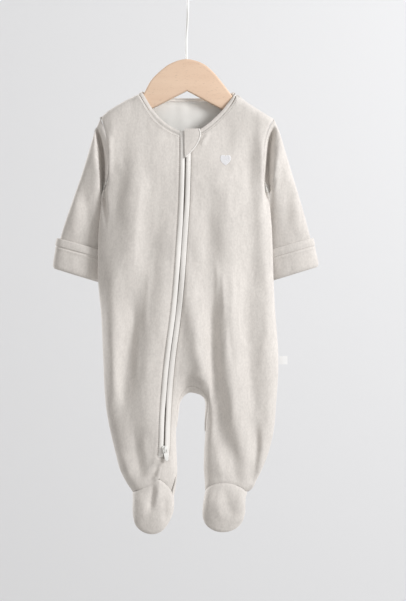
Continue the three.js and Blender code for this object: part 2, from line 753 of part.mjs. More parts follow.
// The gusset's two long edges, from its lower end on one inner leg over the arch to its lower end on the other.
function gussetEdges() {
  const places = [];
  const rightInseam = frontLeft.columns.findIndex((c) => c.region === 'strip' && c.w === 1);
  const leftInseam = frontLeft.columns.findIndex((c) => c.region === 'gap' && c.w === 1);
  const offset = back.columns.length - frontLeft.columns.length;
  const at = (row, j) => [frontLeft.points[row][j], back.points[row][j + offset]];
  const between = (row, j, t, inward, sag) => {
    const [front, rear] = at(row, j);
    const [frontNext, rearNext] = at(row + 1, j);
    places.push({ front: front.clone().lerp(frontNext, t), rear: rear.clone().lerp(rearNext, t), inward, sag });
  };
  const toLeft = new THREE.Vector3(1, 0, 0);
  const toRight = new THREE.Vector3(-1, 0, 0);
  between(CROTCH_ROW + 1, rightInseam, 0.05, toLeft, 0.5);
  between(CROTCH_ROW, rightInseam, 0.85, toLeft, 1);
  between(CROTCH_ROW, rightInseam, 0.45, toLeft, 2);
  for (let j = rightInseam; j <= leftInseam; j += 1) {
    const column = frontLeft.columns[j];
    const w = column.region === 'strip' ? 0 : column.w;
    const [front, rear] = at(CROTCH_ROW, j);
    places.push({ front, rear, inward: archNormal(w), sag: 3 + 6 * Math.sin(Math.PI * w) });
  }
  between(CROTCH_ROW, leftInseam, 0.45, toRight, 2);
  between(CROTCH_ROW, leftInseam, 0.85, toRight, 1);
  between(CROTCH_ROW + 1, leftInseam, 0.05, toRight, 0.5);
  return places;
}

function makeGusset() {
  const steps = [0, 0.25, 0.5, 0.75, 1];
  const edges = gussetEdges();
  const points = edges.map(({ front, rear, inward, sag }) => steps.map((s) => front.clone().lerp(rear, s)
    .addScaledVector(inward, GUSSET_DROP + sag * Math.sin(Math.PI * s) ** 0.8)));
  const built = clothWall({
    points,
    wall: WALL,
    cutAt: (i, j) => (j === 0 || j === steps.length - 1 ? edges[i].inward : null),
    outward: () => ACROSS,
  });
  return makeMesh('crotch_gusset', built.geometry, COLOURS.velour);
}

// Feet

function rimCurve(name) {
  const places = FOOT_RIMS[name].map((p) => new THREE.Vector3(p.x, p.y, p.z));
  return new THREE.CatmullRomCurve3(places, false, 'centripetal');
}

// The last row of a panel along one leg, in order of growing x.
function legEdge(face, name) {
  const pick = (panel, keep) => panel.columns
    .map((column, j) => ({ column, point: panel.points[LAST_ROW][j] }))
    .filter(({ column }) => keep(column))
    .map(({ point }) => point);
  const inLeft = (column) => column.leg === 'left' && !column.inGap;
  const inRight = (column) => column.leg === 'right' && column.region !== 'gap';
  if (name === 'left') return pick(face === 'front' ? frontLeft : back, inLeft);
  if (face === 'back') return pick(back, inRight);
  return [...pick(frontRight, inRight), ...pick(frontLeft, (c) => inRight(c) && c.w > 0)];
}

function makeFootHalf(name, face) {
  const edge = legEdge(face, name);
  const rim = rimCurve(name);
  const steps = [0, 0.18, 0.4, 0.62, 0.82, 0.94, 1];
  const width = edge[edge.length - 1].x - edge[0].x;
  const forward = face === 'front' ? -1 : 1;
  const puff = face === 'front' ? 4.5 : 5;
  const points = steps.map((s) => edge.map((start) => {
    const u = (start.x - edge[0].x) / width;
    const end = rim.getPointAt(clamp01(0.02 + 0.96 * u));
    const top = start.clone();
    top.z -= SEAM;
    const middle = Math.sin(Math.PI * u) ** 0.5;
    const point = top.clone().lerp(end, s);
    const seamY = end.y + forward * FOOT_SEAM;
    const close = Math.sqrt(1 - s ** 2.6);
    point.y = seamY + (top.y - seamY) * close + forward * puff * Math.sin(Math.PI * s) * middle;
    return point;
  }));
  const built = clothWall({
    points,
    wall: WALL,
    cutAt: (i, j) => {
      if (i === steps.length - 1) return FORWARD;
      if (j === 0 || j === edge.length - 1) return FORWARD;
      return i === 0 ? UPWARD : null;
    },
    outward: () => (face === 'front' ? FORWARD : BACKWARD),
  });
  return makeMesh(`${face === 'front' ? 'foot_upper' : 'foot_sole'}_${name}`, built.geometry, COLOURS.velour);
}

// Neck binding

function neckEdge() {
  const pick = (panel, keep) => panel.columns
    .map((column, j) => ({
      column, point: panel.points[0][j], next: panel.points[1][j], normal: panel.normals[j],
    }))
    .filter(({ column }) => keep(column));
  const corner = (column) => (column.region === 'right' && column.w === NECK_COLUMN)
    || (column.region === 'gap' && column.w === 1);
  const right = pick(frontRight, (c) => isNeck(c) || corner(c)).reverse();
  const rear = pick(back, (c) => isNeck(c));
  const left = pick(frontLeft, (c) => isNeck(c) || corner(c)).reverse();
  return [...right, ...rear, ...left];
}

// At a neck corner the binding runs over the shoulder seam, in line with it.
function cornerFrame(x) {
  const toNeck = Math.sign(-x);
  const rise = shoulderOf(x + toNeck) - shoulderOf(x);
  const outward = new THREE.Vector3(toNeck, 0, rise).normalize();
  return { outward, normal: new THREE.Vector3(-outward.z * toNeck, 0, outward.x * toNeck) };
}

function makeBinding() {
  const edge = neckEdge();
  const last = edge.length - 1;
  const rows = edge.map(({ point, next, normal }, k) => {
    const start = point.clone();
    const tangent = edge[Math.min(last, k + 1)].point.clone().sub(edge[Math.max(0, k - 1)].point).normalize();
    let frame = { outward: point.clone().sub(next), normal };
    if (Math.abs(start.y) < 1) {
      start.y = 0;
      frame = cornerFrame(start.x);
    } else {
      frame.outward.addScaledVector(tangent, -frame.outward.dot(tangent));
      frame.outward.addScaledVector(normal, -frame.outward.dot(normal)).normalize();
    }
    if (k === 0 || k === last) {
      frame.outward = UPWARD;
      start.x += (k === 0 ? -2 : 2) * SEAM;
    }
    return [0, 0.5, 1].map((s) => start.clone()
      .addScaledVector(frame.outward, SEAM + 0.2 + BINDING_WIDTH * s)
      .addScaledVector(frame.normal, 0.3 + 0.7 * Math.sin(Math.PI * s)));
  });
  const points = [0, 1, 2].map((s) => rows.map((row) => row[s]));
  const built = clothWall({
    points,
    wall: BINDING_WALL,
    cutAt: (i, j) => (j === 0 || j === last ? ACROSS : null),
    outward: () => FORWARD,
  });
  return makeMesh('neck_binding', built.geometry, COLOURS.velour);
}

// Zip

function zipLevels(from, to, count) {
  return Array.from({ length: count + 1 }, (_, i) => mix(from, to, i / count));
}

function makeFacing(name) {
  const turn = name === 'right' ? -1 : 1;
  const panel = name === 'right' ? frontRight : frontLeft;
  const j = name === 'right' ? panel.columns.length - 1 : 0;
  const levels = panel.points.map((row) => row[j].z).filter((z) => z >= ZIP_END_Z - 0.5);
  // The strips run up over the neck binding's end.
  levels[0] += 5;
  const section = [
    [ZIP_HALF - SEAM, 0.2], [mix(ZIP_HALF, FACING_INNER, 0.35), FACING_RISE],
    [mix(ZIP_HALF, FACING_INNER, 0.75), FACING_RISE], [FACING_INNER, 0.3],
  ];
  const points = levels.map((z) => section
    .map(([across, proud]) => frontPoint(guide.zip(z) + turn * across, z, proud)));
  const built = clothWall({
    points,
    wall: FACING_WALL,
    cutAt: (i, k) => (k === 0 || k === section.length - 1 ? ACROSS : null),
    outward: () => FORWARD,
  });
  return makeMesh(`zip_facing_${name}`, built.geometry, COLOURS.strip);
}

function makeTape() {
  const points = zipLevels(-170, -576, 30).map((z) => [-TAPE_HALF, 0, TAPE_HALF].map((across) => {
    const point = frontPoint(guide.zip(z) + across, z);
    point.y += TAPE_DEPTH + (across === 0 ? 0 : 0.4);
    return point;
  }));
  const built = clothWall({ points, wall: TAPE_WALL, outward: () => FORWARD });
  return makeMesh('zip_tape', built.geometry, COLOURS.tape);
}

// The guard is a small folded flap over the top of the zip, sewn down at its left.
const GUARD = table(['z', 'rightEdge', 'leftEdge', 'proud'], [
  [-165.4, -3.1, 15.4, 3.7],
  [-171.6, -3.1, 17.5, 3.7],
  [-177, -3.1, 16.6, 3.3],
  [-182.5, -3.1, 14.4, 3.1],
  [-187.5, -3.1, 11.4, 3.1],
  [-192.5, -3, 7.6, 3.1],
  [-197.5, -2.9, 3.2, 3.1],
  [-201.5, -2.8, -0.6, 3.1],
]);
const GUARD_WALL = 1.4;

function makeGuard() {
  const points = GUARD.map((row) => [0, 0.25, 0.5, 0.75, 1].map((s) => {
    const x = mix(row.rightEdge, row.leftEdge, s);
    return frontPoint(x, row.z, row.proud + 0.5 * Math.sin(Math.PI * s));
  }));
  const built = clothWall({ points, wall: GUARD_WALL, outward: () => FORWARD });
  return makeMesh('zip_guard', built.geometry, COLOURS.velour);
}

// The slider and its pull tab are built flat, with u across, v up the zip and w out of the cloth, and then
// set on it.
const SLIDER = { z: -564.5, length: 9, halfTop: 3.4, halfBottom: 2.3, back: 1.9, thick: 2 };
const BRIDGE = { half: 0.65, reach: 3.6, post: 1, under: 1.7, top: 2.5 };
const TAB = {
  yaw: THREE.MathUtils.degToRad(14), half: 2.8, endHalf: 2.1, length: 14.4, window: 1.9, windowEnd: 4.7,
  bar: 0.45, thick: 0.9, lift: 0.35,
};
const SLIDER_FACE = SLIDER.back + SLIDER.thick;

function zipFrame() {
  const x = guide.zip(SLIDER.z);
  const step = 2;
  const u = frontPoint(x + step, SLIDER.z).sub(frontPoint(x - step, SLIDER.z)).normalize();
  const along = frontPoint(guide.zip(SLIDER.z + step), SLIDER.z + step);
  const v = along.sub(frontPoint(guide.zip(SLIDER.z - step), SLIDER.z - step)).normalize();
  const w = u.clone().cross(v).normalize();
  u.copy(v).cross(w).normalize();
  return new THREE.Matrix4().makeBasis(u, v, w).setPosition(frontPoint(x, SLIDER.z));
}

function flatShape(points) {
  return new THREE.Shape(points.map(([x, y]) => new THREE.Vector2(x, y)));
}

function plate(shape, from, to) {
  const geometry = new THREE.ExtrudeGeometry(shape, { depth: to - from, bevelEnabled: false, curveSegments: 4 });
  return geometry.translate(0, 0, from);
}

function toSolid(geometry) {
  const bare = geometry.clone();
  bare.deleteAttribute('normal');
  bare.deleteAttribute('uv');
  const merged = mergeVertices(bare, 1e-4);
  return new wasm.Manifold(new wasm.Mesh({
    numProp: 3,
    vertProperties: Float32Array.from(merged.attributes.position.array),
    triVerts: Uint32Array.from(merged.index.array),
  }));
}

function fromSolid(solid) {
  const mesh = solid.getMesh();
  const geometry = new THREE.BufferGeometry();
  geometry.setAttribute('position', new THREE.Float32BufferAttribute(mesh.vertProperties, 3));
  geometry.setIndex(Array.from(mesh.triVerts));
  geometry.computeVertexNormals();
  return geometry;
}

function makeSlider() {
  const { length, halfTop, halfBottom, back: rear } = SLIDER;
  const half = length / 2;
  const outline = [[-halfTop, half - 1.2], [-halfTop + 1.2, half], [-0.7, half], [0, half - 1.4], [0.7, half],
    [halfTop - 1.2, half], [halfTop, half - 1.2], [halfBottom, -half + 1], [halfBottom - 1, -half],
    [1 - halfBottom, -half], [-halfBottom, -half + 1]];
  let solid = toSolid(plate(flatShape([...outline].reverse()), rear, SLIDER_FACE));
  const { half: b, reach, post, under, top } = BRIDGE;
  const arch = flatShape([[-reach, -0.4], [-reach + post, -0.4], [-reach + post, under], [reach - post, under],
    [reach - post, -0.4], [reach, -0.4], [reach, top - 0.6], [reach - 0.8, top], [0.8 - reach, top],
    [-reach, top - 0.6]]);
  const bridge = new THREE.ExtrudeGeometry(arch, { depth: 2 * b, bevelEnabled: false });
  // The arch's outline lies along the zip and stands on the slider's face.
  bridge.applyMatrix4(new THREE.Matrix4().makeBasis(
    new THREE.Vector3(0, 1, 0), new THREE.Vector3(0, 0, 1), new THREE.Vector3(1, 0, 0),
  )).translate(-b, 0, SLIDER_FACE);
  solid = solid.add(toSolid(bridge));
  const mesh = makeMesh('zip_slider', fromSolid(solid), COLOURS.plastic, 0.4);
  mesh.applyMatrix4(zipFrame());
  return mesh;
}

function makePullTab() {
  const { half, endHalf, length, window, windowEnd, bar, thick, lift } = TAB;
  const outline = [[-half, bar], [-half, -windowEnd - 1], [-endHalf, -length + 1.4], [-endHalf + 1.2, -length],
    [endHalf - 1.2, -length], [endHalf, -length + 1.4], [half, -windowEnd - 1], [half, bar]];
  const shape = flatShape(outline);
  shape.holes.push(flatShape([[-window, -bar], [window, -bar], [window, -windowEnd], [-window, -windowEnd]]));
  const solid = toSolid(plate(shape, -thick / 2, thick / 2));
  const mesh = makeMesh('zip_pull_tab', fromSolid(solid), COLOURS.plastic, 0.4);
  // The tab turns on its own bar, so its origin is the bar's middle and its x axis is the hinge.
  const hinge = new THREE.Matrix4().makeTranslation(0, 0, SLIDER_FACE + lift + thick / 2);
  hinge.multiply(new THREE.Matrix4().makeRotationZ(TAB.yaw));
  mesh.applyMatrix4(zipFrame().multiply(hinge));
  return mesh;
}

// The small blank tab that is caught in the side seam.
const LABEL = { z: -454, height: 10.4, width: 10.2, wall: 1 };

function makeLabel() {
  const start = side.left(LABEL.z) + SEAM + 0.2;
  const points = [0.5, 0, -0.5].map((v) => [0, 0.5, 1].map((s) => new THREE.Vector3(
    start + LABEL.width * s, -LABEL.wall / 2 - 0.5 * Math.sin(Math.PI * s), LABEL.z + LABEL.height * v,
  )));
  const built = clothWall({ points, wall: LABEL.wall, cutAt: () => ACROSS, outward: () => FORWARD });
  return makeMesh('side_label', built.geometry, COLOURS.label, 0.7);
}

// Hanger

// The top edge of the wood, from one arm's tip to the other, and its lower edge back again.
const HANGER_TOP = table(['x', 'z'], [
  [-91.4, -151.5], [-89.6, -145.4], [-84, -139.4], [-76.2, -134.2], [-62, -126.4], [-57.5, -124],
  [-53.4, -119.6], [-45.4, -105], [-33, -92.3], [-20.6, -83.4], [-1, -77.8], [18.6, -82.8], [30.1, -91.3],
  [43.5, -106.6], [54, -120.4], [58.5, -125.4], [63, -127.9], [74, -135.2], [86, -143], [91.6, -149],
  [93, -156],
]);
const HANGER_FOOT = table(['x', 'z'], [
  [89, -162.6], [82, -161.4], [0, -117.6], [-80, -158.4], [-87.5, -158.6],
]);
const HANGER_BEVEL = 2.5;

function makeHanger() {
  const outline = HANGER_TOP.map((p) => new THREE.Vector3(p.x, p.z, 0));
  const top = new THREE.CatmullRomCurve3(outline, false, 'centripetal');
  const points = top.getSpacedPoints(34).map((p) => new THREE.Vector2(p.x, p.y));
  const foot = HANGER_FOOT.map((p) => new THREE.Vector2(p.x, p.z));
  const geometry = new THREE.ExtrudeGeometry(new THREE.Shape([...points, ...foot]), {
    depth: 2 * (HANGER_HALF - HANGER_BEVEL), bevelThickness: HANGER_BEVEL, bevelSize: HANGER_BEVEL,
    bevelOffset: -HANGER_BEVEL, bevelSegments: 2,
  });
  geometry.translate(0, 0, -(HANGER_HALF - HANGER_BEVEL)).rotateX(Math.PI / 2);
  return makeMesh('hanger_wood', geometry, COLOURS.wood, 0.6);
}

// The hook runs up from the wood, bends forward, and goes over the rail from its front to its back.
const HOOK_FOOT = table(['x', 'y', 'z'], [
  [-0.6, 0, -77.2], [-0.6, 0, -62], [-0.6, 0, -50], [-0.2, -2.2, -41.5], [0.5, -7, -33],
]);

function makeHook() {
  const points = HOOK_FOOT.map((p) => new THREE.Vector3(p.x, p.y, p.z));
  const centre = WIRE_RADIUS - HOOK_RADIUS;
  for (let degrees = 212; degrees >= -24; degrees -= 15) {
    const angle = THREE.MathUtils.degToRad(degrees);
    points.push(new THREE.Vector3(1, HOOK_RADIUS * Math.cos(angle), centre + HOOK_RADIUS * Math.sin(angle)));
  }
  const path = new THREE.CatmullRomCurve3(points, false, 'centripetal');
  const section = new THREE.Shape().absarc(0, 0, WIRE_RADIUS, 0, 2 * Math.PI);
  const geometry = new THREE.ExtrudeGeometry(section, {
    extrudePath: path, steps: 40, curveSegments: 4, bevelEnabled: false,
  });
  return makeMesh('hanger_hook', geometry, COLOURS.wire, 0.35);
}

const group = new THREE.Group();
group.add(frontRight.mesh, frontLeft.mesh, back.mesh);
group.add(makeSleeve('right'), makeSleeve('left'), makeCuff('right'), makeCuff('left'));
group.add(makeGusset());
for (const name of ['right', 'left']) group.add(makeFootHalf(name, 'front'), makeFootHalf(name, 'back'));
group.add(makeBinding());
group.add(makeFacing('right'), makeFacing('left'), makeTape(), makeGuard(), makeSlider(), makePullTab());
group.add(makeLabel(), makeHanger(), makeHook());

export default group;
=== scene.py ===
"""A footed baby sleepsuit on its wooden hanger: the looks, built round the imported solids."""
import math
from collections import namedtuple

import bmesh
import bpy
import numpy as np
from mathutils import Matrix, Vector
from mathutils.bvhtree import BVHTree
from mathutils.kdtree import KDTree


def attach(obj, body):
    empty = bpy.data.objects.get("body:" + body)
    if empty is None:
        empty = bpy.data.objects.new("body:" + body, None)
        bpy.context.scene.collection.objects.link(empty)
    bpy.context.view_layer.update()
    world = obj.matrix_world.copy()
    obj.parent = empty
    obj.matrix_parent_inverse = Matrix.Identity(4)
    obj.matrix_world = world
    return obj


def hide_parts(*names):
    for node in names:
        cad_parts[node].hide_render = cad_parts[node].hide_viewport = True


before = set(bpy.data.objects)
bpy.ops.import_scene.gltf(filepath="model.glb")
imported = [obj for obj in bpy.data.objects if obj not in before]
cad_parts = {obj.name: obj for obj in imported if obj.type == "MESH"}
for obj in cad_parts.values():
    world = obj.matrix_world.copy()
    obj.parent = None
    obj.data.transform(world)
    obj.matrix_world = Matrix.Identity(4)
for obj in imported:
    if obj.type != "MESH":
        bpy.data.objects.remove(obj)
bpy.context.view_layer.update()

MM = 0.001
PX = 1.25 * MM                 # one pixel of the photograph, at the garment
PICTURE_WIDTH = 406            # in pixels
SENSOR = 36                    # the camera's, in millimetres
MIDDLE = Vector((20 * MM, 0, -379.4 * MM))   # the point of the garment at the picture's middle
CAMERA_AWAY = 3.2
FRONT, BACK = -1, 1
MOST_FACES = 46000             # of four sides, in one layer of a piece
SEAM_GAP = 0.17                # half the gap between the solids at a seam
HEM = 10.5                     # how far the cuff's hem seam is from its edge
SEAM_DRAW = 7.0                # how far in from a sewn edge the cloth moves with it
WANDER_SIZE, WANDER = 34, 2.2  # how far apart, and how far, a crease wanders from its line
NOISE_PRIMES = (73856093, 19349663, 83492791, 2654435761)   # mixed into the noise, three by place

# Tables, in millimetres

# Each cloth node: the wall's thickness in the solid, the way that its outer face looks (a direction, or
# None for out of its middle), how often its faces are halved, the thickness that shows, how deep its
# seams sink, and its material slot.
Fabric = namedtuple("Fabric", "wall looks halvings thick sink slot")
CLOTH = {
    "front_right": Fabric(1.8, (0, -1, 0), 3, 1.3, 0.5, "velour"),
    "front_left": Fabric(1.8, (0, -1, 0), 3, 1.3, 0.5, "velour"),
    "back": Fabric(1.8, (0, 1, 0), 3, 1.3, 0.5, "velour"),
    "sleeve_right": Fabric(1.8, None, 3, 1.3, 0.5, "velour"),
    "sleeve_left": Fabric(1.8, None, 3, 1.3, 0.5, "velour"),
    "cuff_right": Fabric(1.6, None, 3, 1.2, 0, "velour"),
    "cuff_left": Fabric(1.6, None, 3, 1.2, 0, "velour"),
    "crotch_gusset": Fabric(1.8, (0, 0, -1), 3, 1.3, 0.4, "velour"),
    "foot_upper_right": Fabric(1.8, (0, -1, 0), 3, 1.3, 0.5, "velour"),
    "foot_sole_right": Fabric(1.8, (0, 1, 0), 3, 1.3, 0.5, "velour"),
    "foot_upper_left": Fabric(1.8, (0, -1, 0), 3, 1.3, 0.5, "velour"),
    "foot_sole_left": Fabric(1.8, (0, 1, 0), 3, 1.3, 0.5, "velour"),
    "neck_binding": Fabric(2.0, None, 3, 1.9, 0, "velour"),
    "zip_facing_right": Fabric(1.8, (0, -1, 0), 3, 1.6, 0, "strip"),
    "zip_facing_left": Fabric(1.8, (0, -1, 0), 3, 1.6, 0, "strip"),
    "zip_tape": Fabric(1.0, (0, -1, 0), 1, 0.8, 0, "tape"),
    "zip_guard": Fabric(1.4, (0, -1, 0), 3, 1.3, 0, "velour"),
    "side_label": Fabric(1.0, (0, -1, 0), 3, 0.7, 0, "label"),
}

# The middle of the zip, down the front.
ZIP = [(-110, -1.9), (-197.5, -1.9), (-253.8, -3.1), (-303.8, -6.2), (-353.8, -9.6), (-403.8, -14.6),
       (-453.8, -21.5), (-503.6, -25.9), (-532.5, -27.4), (-561.2, -28.3), (-587.5, -30.5), (-601, -34)]

# Creases: three places on each (x, z), how wide it is towards the viewer's left and right, and how far
# it stands out, or in where that is below nothing.
FRONT_CREASES = [
    # right leg and belly
    (-92, -330, -95, -430, -84, -530, 7, 6, 2.2),
    (-49, -205, -56, -335, -72, -440, 9, 9, -2.3),
    (-68, -390, -77, -465, -90, -535, 7, 6, -2.3),
    (-28, -311, -30, -380, -34, -460, 7, 6, 1.3),
    (-66, -535, -64, -568, -60, -606, 5, 5, -0.8),
    (-56, -540, -54, -570, -50, -600, 5, 5, 1.3),
    (-36, -572, -44, -586, -60, -604, 3, 3, 1.7),
    (-33, -580, -40, -593, -52, -610, 2.4, 2.4, -1.6),
    (-31, -586, -36, -596, -42, -612, 2.2, 2.2, 1.2),
    (-86, -560, -78, -585, -68, -606, 5, 4, 1.4),
    # left leg and belly
    (-1, -350, 12, -435, 32, -541, 6, 6, 2.0),
    (28, -370, 33, -470, 46, -600, 5, 6, -2.6),
    (35, -326, 38, -352, 36, -392, 1.8, 2.2, 0.7),
    (43, -340, 46, -372, 43, -412, 1.8, 2.2, 0.8),
    (55, -335, 57, -376, 53, -420, 2, 2.4, 0.8),
    (50, -400, 54, -430, 58, -470, 2, 2, -0.7),
    (-45, -330, -50, -380, -54, -430, 2.4, 2.4, 0.6),
    (-58, -400, -62, -440, -60, -490, 2.4, 2.4, 0.6),
    (44, -400, 52, -490, 63, -560, 5, 6, 2.2),
    (68, -345, 74, -440, 85, -545, 7, 6, -3.2),
    (97, -300, 101, -400, 98, -500, 6, 6, 1.8),
    (82, -520, 86, -570, 70, -632, 5, 3.4, -3.6),
    (95, -520, 94, -575, 82, -622, 4, 3.4, 1.8),
    (54, -540, 60, -585, 66, -630, 4.5, 4.5, -2.0),
    (36, -540, 42, -580, 46, -620, 4.5, 4.5, 1.5),
    # over the crotch arch
    (5, -474, 13, -479, 21, -484.5, 1.8, 1.6, -1.8),
    (4, -468, 13, -473, 24, -480, 2.6, 2.6, 1.0),
    # chest
    (29, -168, 22, -178, 15.5, -187, 1.8, 2.2, 1.5),
    (-72, -225, -75, -300, -84, -380, 15, 9, 1.6),
    (26, -255, 27, -300, 30, -350, 6, 6, -1.5),
    (50, -140, 58, -250, 68, -400, 12, 13, -4.0),
    (-40, -160, -42, -225, -50, -310, 28, 12, 2.2),
    # armholes
    (-95, -160, -97, -200, -98.5, -246, 2.4, 3.4, 2.2),
    (90, -160, 93, -210, 98, -268, 4, 3, 1.4),
    # sleeves
    (-114, -162, -104.5, -202, -101.6, -292, 2.3, 1.2, -19),
    (-119, -185, -114, -220, -114, -262, 4, 4, 1.0),
    (-128, -225, -127, -262, -122, -300, 5, 5, -1.8),
    (-140, -245, -141, -280, -146, -302, 5, 5, 1.3),
    (109, -160, 99.2, -198, 98.0, -280, 1.2, 3.0, -17),
    (114, -180, 108, -215, 110, -270, 3, 5, 2.8),
    (109, -224, 107, -232, 104, -240, 2, 2, -1.4),
    (128, -225, 127, -262, 122, -298, 5, 5, -1.5),
    (139, -250, 141, -280, 145, -300, 5, 5, 1.2),
    # feet
    (-43, -606, -43, -625, -46, -645, 2.5, 2, -2.4),
    (-36, -602, -36, -622, -38, -642, 2.5, 2.5, 2.0),
    (-27, -622, -26, -640, -28, -656, 2, 2, -1.7),
    (-53, -618, -54, -638, -52, -656, 3.5, 3.5, 1.0),
    (44, -606, 50, -630, 60, -655, 4, 4, -1.2),
    (36, -622, 39, -640, 46, -655, 4, 4, 1.1),
    (66, -608, 66, -630, 62, -650, 4, 4, 1.1),
]
BACK_CREASES = [
    # body
    (-70, -180, -74, -260, -68, -350, 6, 5, -2.2),
    (-46, -170, -50, -240, -44, -330, 6, 7, 1.7),
    (-20, -190, -16, -290, -20, -390, 7, 6, -1.8),
    (12, -170, 9, -260, 12, -340, 6, 6, 1.7),
    (40, -190, 45, -280, 40, -380, 6, 7, -2.0),
    (72, -180, 75, -260, 78, -350, 5, 6, -2.4),
    (86, -260, 90, -340, 88, -420, 6, 5, 1.8),
    # legs
    (-88, -330, -84, -420, -88, -510, 6, 6, -2.4),
    (-56, -430, -54, -500, -62, -570, 6, 6, 2.0),
    (-30, -470, -34, -530, -38, -595, 5, 5, -2.4),
    (34, -470, 37, -530, 40, -595, 5, 5, -2.2),
    (62, -440, 64, -510, 58, -590, 6, 5, 2.2),
    (94, -450, 92, -520, 84, -590, 5, 5, -2.6),
    # seat and ankles
    (-30, -440, 4, -462, 40, -444, 7, 6, -1.8),
    (-14, -466, 8, -476, 28, -468, 4, 4, 1.2),
    (-60, -585, -48, -600, -36, -610, 4, 4, 1.5),
    (66, -585, 54, -600, 40, -610, 4, 4, 1.5),
    # armholes and sleeves
    (-116, -172, -112, -205, -111, -244, 4, 3, -3.4),
    (111, -172, 107, -205, 106, -240, 3, 4, -3.4),
    (-122, -205, -124, -250, -128, -290, 6, 5, -2.2),
    (-136, -240, -138, -270, -142, -300, 5, 5, 1.5),
    (120, -205, 122, -250, 126, -290, 5, 6, -2.0),
    (135, -240, 137, -270, 140, -300, 5, 5, 1.5),
    # feet
    (-46, -625, -44, -640, -48, -655, 5, 5, 1.2),
    (50, -625, 48, -640, 52, -655, 5, 5, -1.2),
]

# Places at the sides where the cloth of front and back bellies out: x, z, reach, and how far. Two are
# under the arms, and one hangs over the left ankle's seam.
BELLIES = [(-99.4, -246, 13, -3.4), (101, -243, 13, 2.4), (76, -612, 9, 4)]

# The line of stitches below the neck's bound edge: the wearer's right front, left front, and the back.
NECK_RIGHT = [(-59.6, -127.6), (-50.4, -143.9), (-41.3, -156.1), (-29.6, -165.8), (-18.6, -172.2),
              (-10.5, -175.2)]
NECK_LEFT = [(18.8, -172.9), (31.5, -164.9), (45.4, -151.9), (54.2, -142.2), (62.2, -129.4)]
NECK_BACK = [(-54, -127.6), (-36.4, -131.7), (0, -133.4), (38.4, -131.9), (55, -128)]

# The pieces whose edges are drawn together, the others that they may be sewn to, the widest gap that is
# closed, and how often they are drawn, and the moves along an edge evened out.
SEWN = ("front_right", "front_left", "back", "crotch_gusset", "foot_upper_right", "foot_sole_right",
        "foot_upper_left", "foot_sole_left", "sleeve_right", "sleeve_left")
SEWN_TO = ("neck_binding", "zip_facing_right", "zip_facing_left")
WIDEST_GAP = 9.0
DRAWINGS, EVENINGS = 9, 6

# The right leg's inner ankle, where a small piece is let in, with the line that it follows (z, x), and
# the places whose edges are left as they are, with their reach: that ankle and the shoulder tips.
ANKLE = (-15, 0, -619)
ANKLE_LINE = [(-642, -16.6), (-630, -16.2), (-620, -15.8), (-608, -13.2), (-596, -12)]
LEFT_ALONE = [(ANKLE, 17), ((-108, 0, -151), 4), ((109, 0, -152.5), 4)]

# The gusset's half width, the levels where it starts to narrow, where the solid does, where it ends and
# where the seam does, and its middle on each side at a level of the inner legs (z, right, left).
GUSSET_HALF = 7.5
GUSSET_ENDS = (-505, -508, -522, -540)
INNER_LEGS = [(-503.6, -11.4, 26.8), (-532.5, -13.2, 23.4), (-561.2, -13.4, 21.4)]

# Small tools


def smooth(t):
    t = np.clip(t, 0, 1)
    return t * t * (3 - 2 * t)


def zip_x(z):
    """The zip's middle at a level, in millimetres."""
    zs, xs = zip(*reversed(ZIP))
    return np.interp(z, zs, xs)


def lattice(points, size, seed):
    """Smooth noise from -1 to 1 over points in metres, with blobs of about size millimetres."""
    p = points / (size * MM) + seed * 17.31
    cell = np.floor(p).astype(np.int64)
    part = p - cell
    part = part * part * (3 - 2 * part)
    total = np.zeros(len(points))
    for corner in range(8):
        step = np.array([(corner >> k) & 1 for k in range(3)])
        x, y, z = ((cell + step) * NOISE_PRIMES[:3]).T
        value = x ^ y ^ z ^ (seed * NOISE_PRIMES[3])
        value = (value ^ (value >> 13)) * 1274126177 & 0x7FFFFFFF
        weight = np.prod(np.where(step == 1, part, 1 - part), axis=1)
        total += weight * (value / 0x3FFFFFFF - 1)
    return total


def bent_line(crease):
    """Places along a crease, which runs through its three in one bend."""
    a, b, c = (np.array(crease[k:k + 2]) for k in (0, 2, 4))
    control = 2 * b - (a + c) / 2
    return [(1 - t) ** 2 * a + 2 * t * (1 - t) * control + t * t * c for t in np.linspace(0, 1, 15)]


def share_beside(places, line, left, right):
    """How much of a crease's height each place gets: less beside its line, and less near its ends."""
    best = np.full(len(places), 1e9)
    share = np.zeros(len(places))
    for i in range(len(line) - 1):
        along = line[i + 1] - line[i]
        t = np.clip(((places - line[i]) @ along) / (along @ along), 0, 1)
        gap = places - line[i] - t[:, None] * along
        far = np.hypot(gap[:, 0], gap[:, 1])
        side = np.sign(gap[:, 0] * along[1] - gap[:, 1] * along[0])
        here = (i + t) / (len(line) - 1)
        taper = smooth(here / 0.35) * smooth((1 - here) / 0.35)
        reach = np.where(side > 0, left, right)
        closer = far < best
        best = np.where(closer, far, best)
        share = np.where(closer, taper * np.exp(-0.5 * (far / reach) ** 2), share)
    return share


def crease_lift(points, creases):
    """How far the creases lift each point, in metres."""
    wander = np.stack([lattice(points, WANDER_SIZE, seed) for seed in (3, 4)], axis=1) * WANDER
    places = points[:, [0, 2]] / MM + wander
    lift = np.zeros(len(points))
    for crease in creases:
        line = bent_line(crease)
        left, right, height = crease[6:]
        middle, half = (line[0] + line[-1]) / 2, np.abs(line[-1] - line[0]) / 2
        near = (np.abs(places - middle) < half + 4 * max(left, right) + 12).all(axis=1)
        lift[near] += share_beside(places[near], line, left, right) * height * MM
    return lift


def unevenness(points):
    """The soft lumps that any hanging cloth has."""
    stretched = points * np.array([1, 1, 0.3])
    return (0.45 * lattice(stretched, 24, 1) + 0.28 * lattice(stretched, 9, 2)) * MM


def lift_of(points, facing):
    creases = FRONT_CREASES if facing == FRONT else BACK_CREASES
    return crease_lift(points, creases) + unevenness(points)


